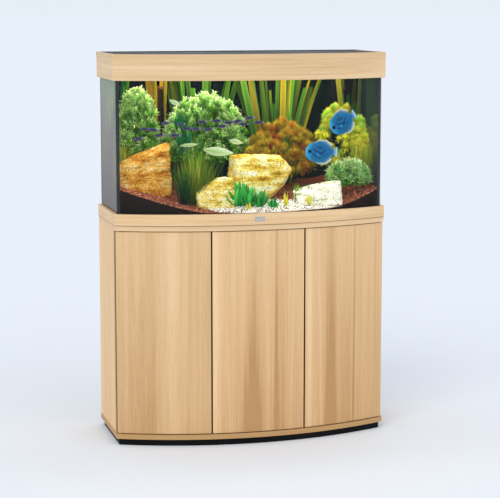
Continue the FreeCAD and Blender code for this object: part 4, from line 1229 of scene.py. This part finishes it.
def discus(shape, place, length, height, thick, pitch, yaw):
    frame = fish_frame(place, pitch, yaw)
    half = length * 0.43
    tall = height / 2
    deep, blue, pale = srgb(0, 40, 84), srgb(0, 98, 164), srgb(60, 176, 222)
    tip = srgb(236, 240, 196)

    def half_height(t):
        return tall * 0.80 * (0.02 + math.sin(math.pi * min(1, t * 0.93 + 0.01) ** 0.82) ** 0.62)

    def half_width(t):
        return thick / 2 * (0.05 + math.sin(math.pi * min(1, t * 0.94 + 0.01) ** 0.7) ** 0.8)

    def tint(t, s):
        rim = abs(s) ** 3
        wave = 0.5 + 0.5 * math.sin(s * 22 + 3 * math.sin(t * 9))
        body = blend_colour(blue, deep, 0.75 * math.sin(math.pi * t))
        body = blend_colour(body, pale, 0.34 * wave ** 2 + 0.25 * rim)
        if t < 0.22:
            body = blend_colour(pale, body, t / 0.22 * 0.7 + 0.2)
        return body

    add_body(shape, frame, half * 2, half_height, half_width, tint, 40, 32)
    back = [(-half * 0.35, tall * 0.70), (0, tall * 0.78), (half * 0.4, tall * 0.70),
            (half * 0.86, tall * 0.24)]
    sail = [(-half * 0.25, tall * 0.82), (half * 0.10, tall * 0.99), (half * 0.62, tall * 0.98),
            (half * 1.02, tall * 0.62)]
    add_fin(shape, frame, back, sail, blue, tip)
    add_fin(shape, frame, [(x, -z) for x, z in back], [(x, -z) for x, z in sail], blue, tip)
    tail_root = [(half * 0.94, tall * 0.14), (half * 0.98, 0), (half * 0.94, -tall * 0.14)]
    tail_edge = [(half * 1.42, tall * 0.42), (half * 1.46, 0), (half * 1.42, -tall * 0.42)]
    add_fin(shape, frame, tail_root, tail_edge, blue, srgb(190, 226, 240))
    for side in (-1, 1):
        fin = frame @ Matrix.Translation((0, side * thick * 0.5, 0))
        add_fin(shape, fin, [(-half * 0.38, -tall * 0.02), (-half * 0.34, -tall * 0.2)],
                [(-half * 0.02, tall * 0.02), (-half * 0.06, -tall * 0.26)], blue, pale)
    add_eye(shape, frame, -half * 0.70, tall * 0.06, thick * 0.33, 0.0058, srgb(2, 20, 54))


def tetra(shape, place, length, pitch, yaw):
    frame = fish_frame(place, pitch, yaw)
    tall = length * 0.135
    back, neon, red, belly = srgb(20, 30, 48), srgb(32, 66, 116), srgb(128, 50, 78), srgb(86, 80, 112)

    def half_height(t):
        return tall * (0.12 + math.sin(math.pi * min(1, t * 0.9 + 0.03)) ** 0.8)

    def half_width(t):
        return half_height(t) * 0.55

    def tint(t, s):
        if s > 0.55:
            return back[:3]
        if s > -0.1:
            return blend_colour(neon, back, 0.2 + 0.3 * t)
        return red[:3] if t > 0.45 else belly[:3]

    add_body(shape, frame, length * 0.8, half_height, half_width, tint, 18, 12)
    end = length * 0.4
    add_fin(shape, frame, [(end * 0.95, tall * 0.2), (end * 0.95, -tall * 0.2)],
            [(end * 1.45, tall * 0.95), (end * 1.45, -tall * 0.95)],
            srgb(110, 110, 150), srgb(150, 170, 190))
    add_fin(shape, frame, [(-end * 0.1, tall * 0.95), (end * 0.25, tall * 0.8)],
            [(end * 0.15, tall * 1.5), (end * 0.4, tall * 1.15)],
            srgb(80, 90, 130), srgb(140, 150, 170))
    add_fin(shape, frame, [(end * 0.1, -tall * 0.9), (end * 0.5, -tall * 0.6)],
            [(end * 0.35, -tall * 1.45), (end * 0.65, -tall * 0.95)],
            srgb(130, 80, 110), srgb(150, 150, 170))
    add_eye(shape, frame, -end * 0.72, tall * 0.2, tall * 0.42, tall * 0.26, srgb(150, 160, 170))


def scale_material(name, glow):
    """Scaled skin: small cells over the fish's own tint."""
    make = Maker(name, 0.3)
    tint = make.node("VertexColor", 0, layer_name="tint")
    scales = make.voronoi(make.coordinate(), 620.0)
    colour = make.mix(0.5, tint, make.ramp(scales, [(0.1, 1.15), (0.6, 0.7)]), "MULTIPLY")
    make.under_water_glowing(colour, glow)
    make.set("Roughness", make.ramp(scales, [(0.1, 0.24), (0.6, 0.42)]))
    make.bump(scales, 0.25, 0.0005)
    return make.material


SHOAL_COUNT = 18


def shoal_place(index):
    """A loose band of fish that climbs to the right, scattered by two uneven waves."""
    share = index / (SHOAL_COUNT - 1)
    scatter = 0.026 * (1 - 0.7 * share)
    return (-0.366 + 0.402 * share, -0.022 + 0.015 * math.sin(2.1 * index),
            1.022 + 0.034 * share + scatter * math.sin(2.6 * index + 4))


def add_fish():
    big = Shape()
    low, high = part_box("discus_pair")
    discus(big, (high.x - 0.048, -0.052, high.z - 0.044), 0.096, 0.088, 0.016, -32, 2)
    discus(big, (low.x + 0.056, -0.076, low.z + 0.042), 0.112, 0.084, 0.017, 2, 8)
    big.piece("discus_fish", scale_material("discus_skin", 0.14), ["discus_pair"], "fish_blue")
    dice = random.Random("shoal")
    small = Shape()
    for index in range(SHOAL_COUNT):
        tetra(small, shoal_place(index), dice.uniform(0.034, 0.041),
              dice.uniform(-10, 4), dice.uniform(-18, 24))
    small.piece("small_shoal", scale_material("tetra_skin", 0.08), ["tetra_school"], "fish_blue")


# ------------------------------------------------------------------------ build
add_camera()
add_lights()
add_floor()
paint_cabinet()
paint_tank()
add_gravel()
add_stones()
add_wood_stem()
add_plants()
add_fish()

bpy.context.scene.view_settings.view_transform = "Standard"
boxes = {"cad": cad_bounds, "visual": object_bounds()}
{name: [list(corner) for corner in box] for name, box in boxes.items()}
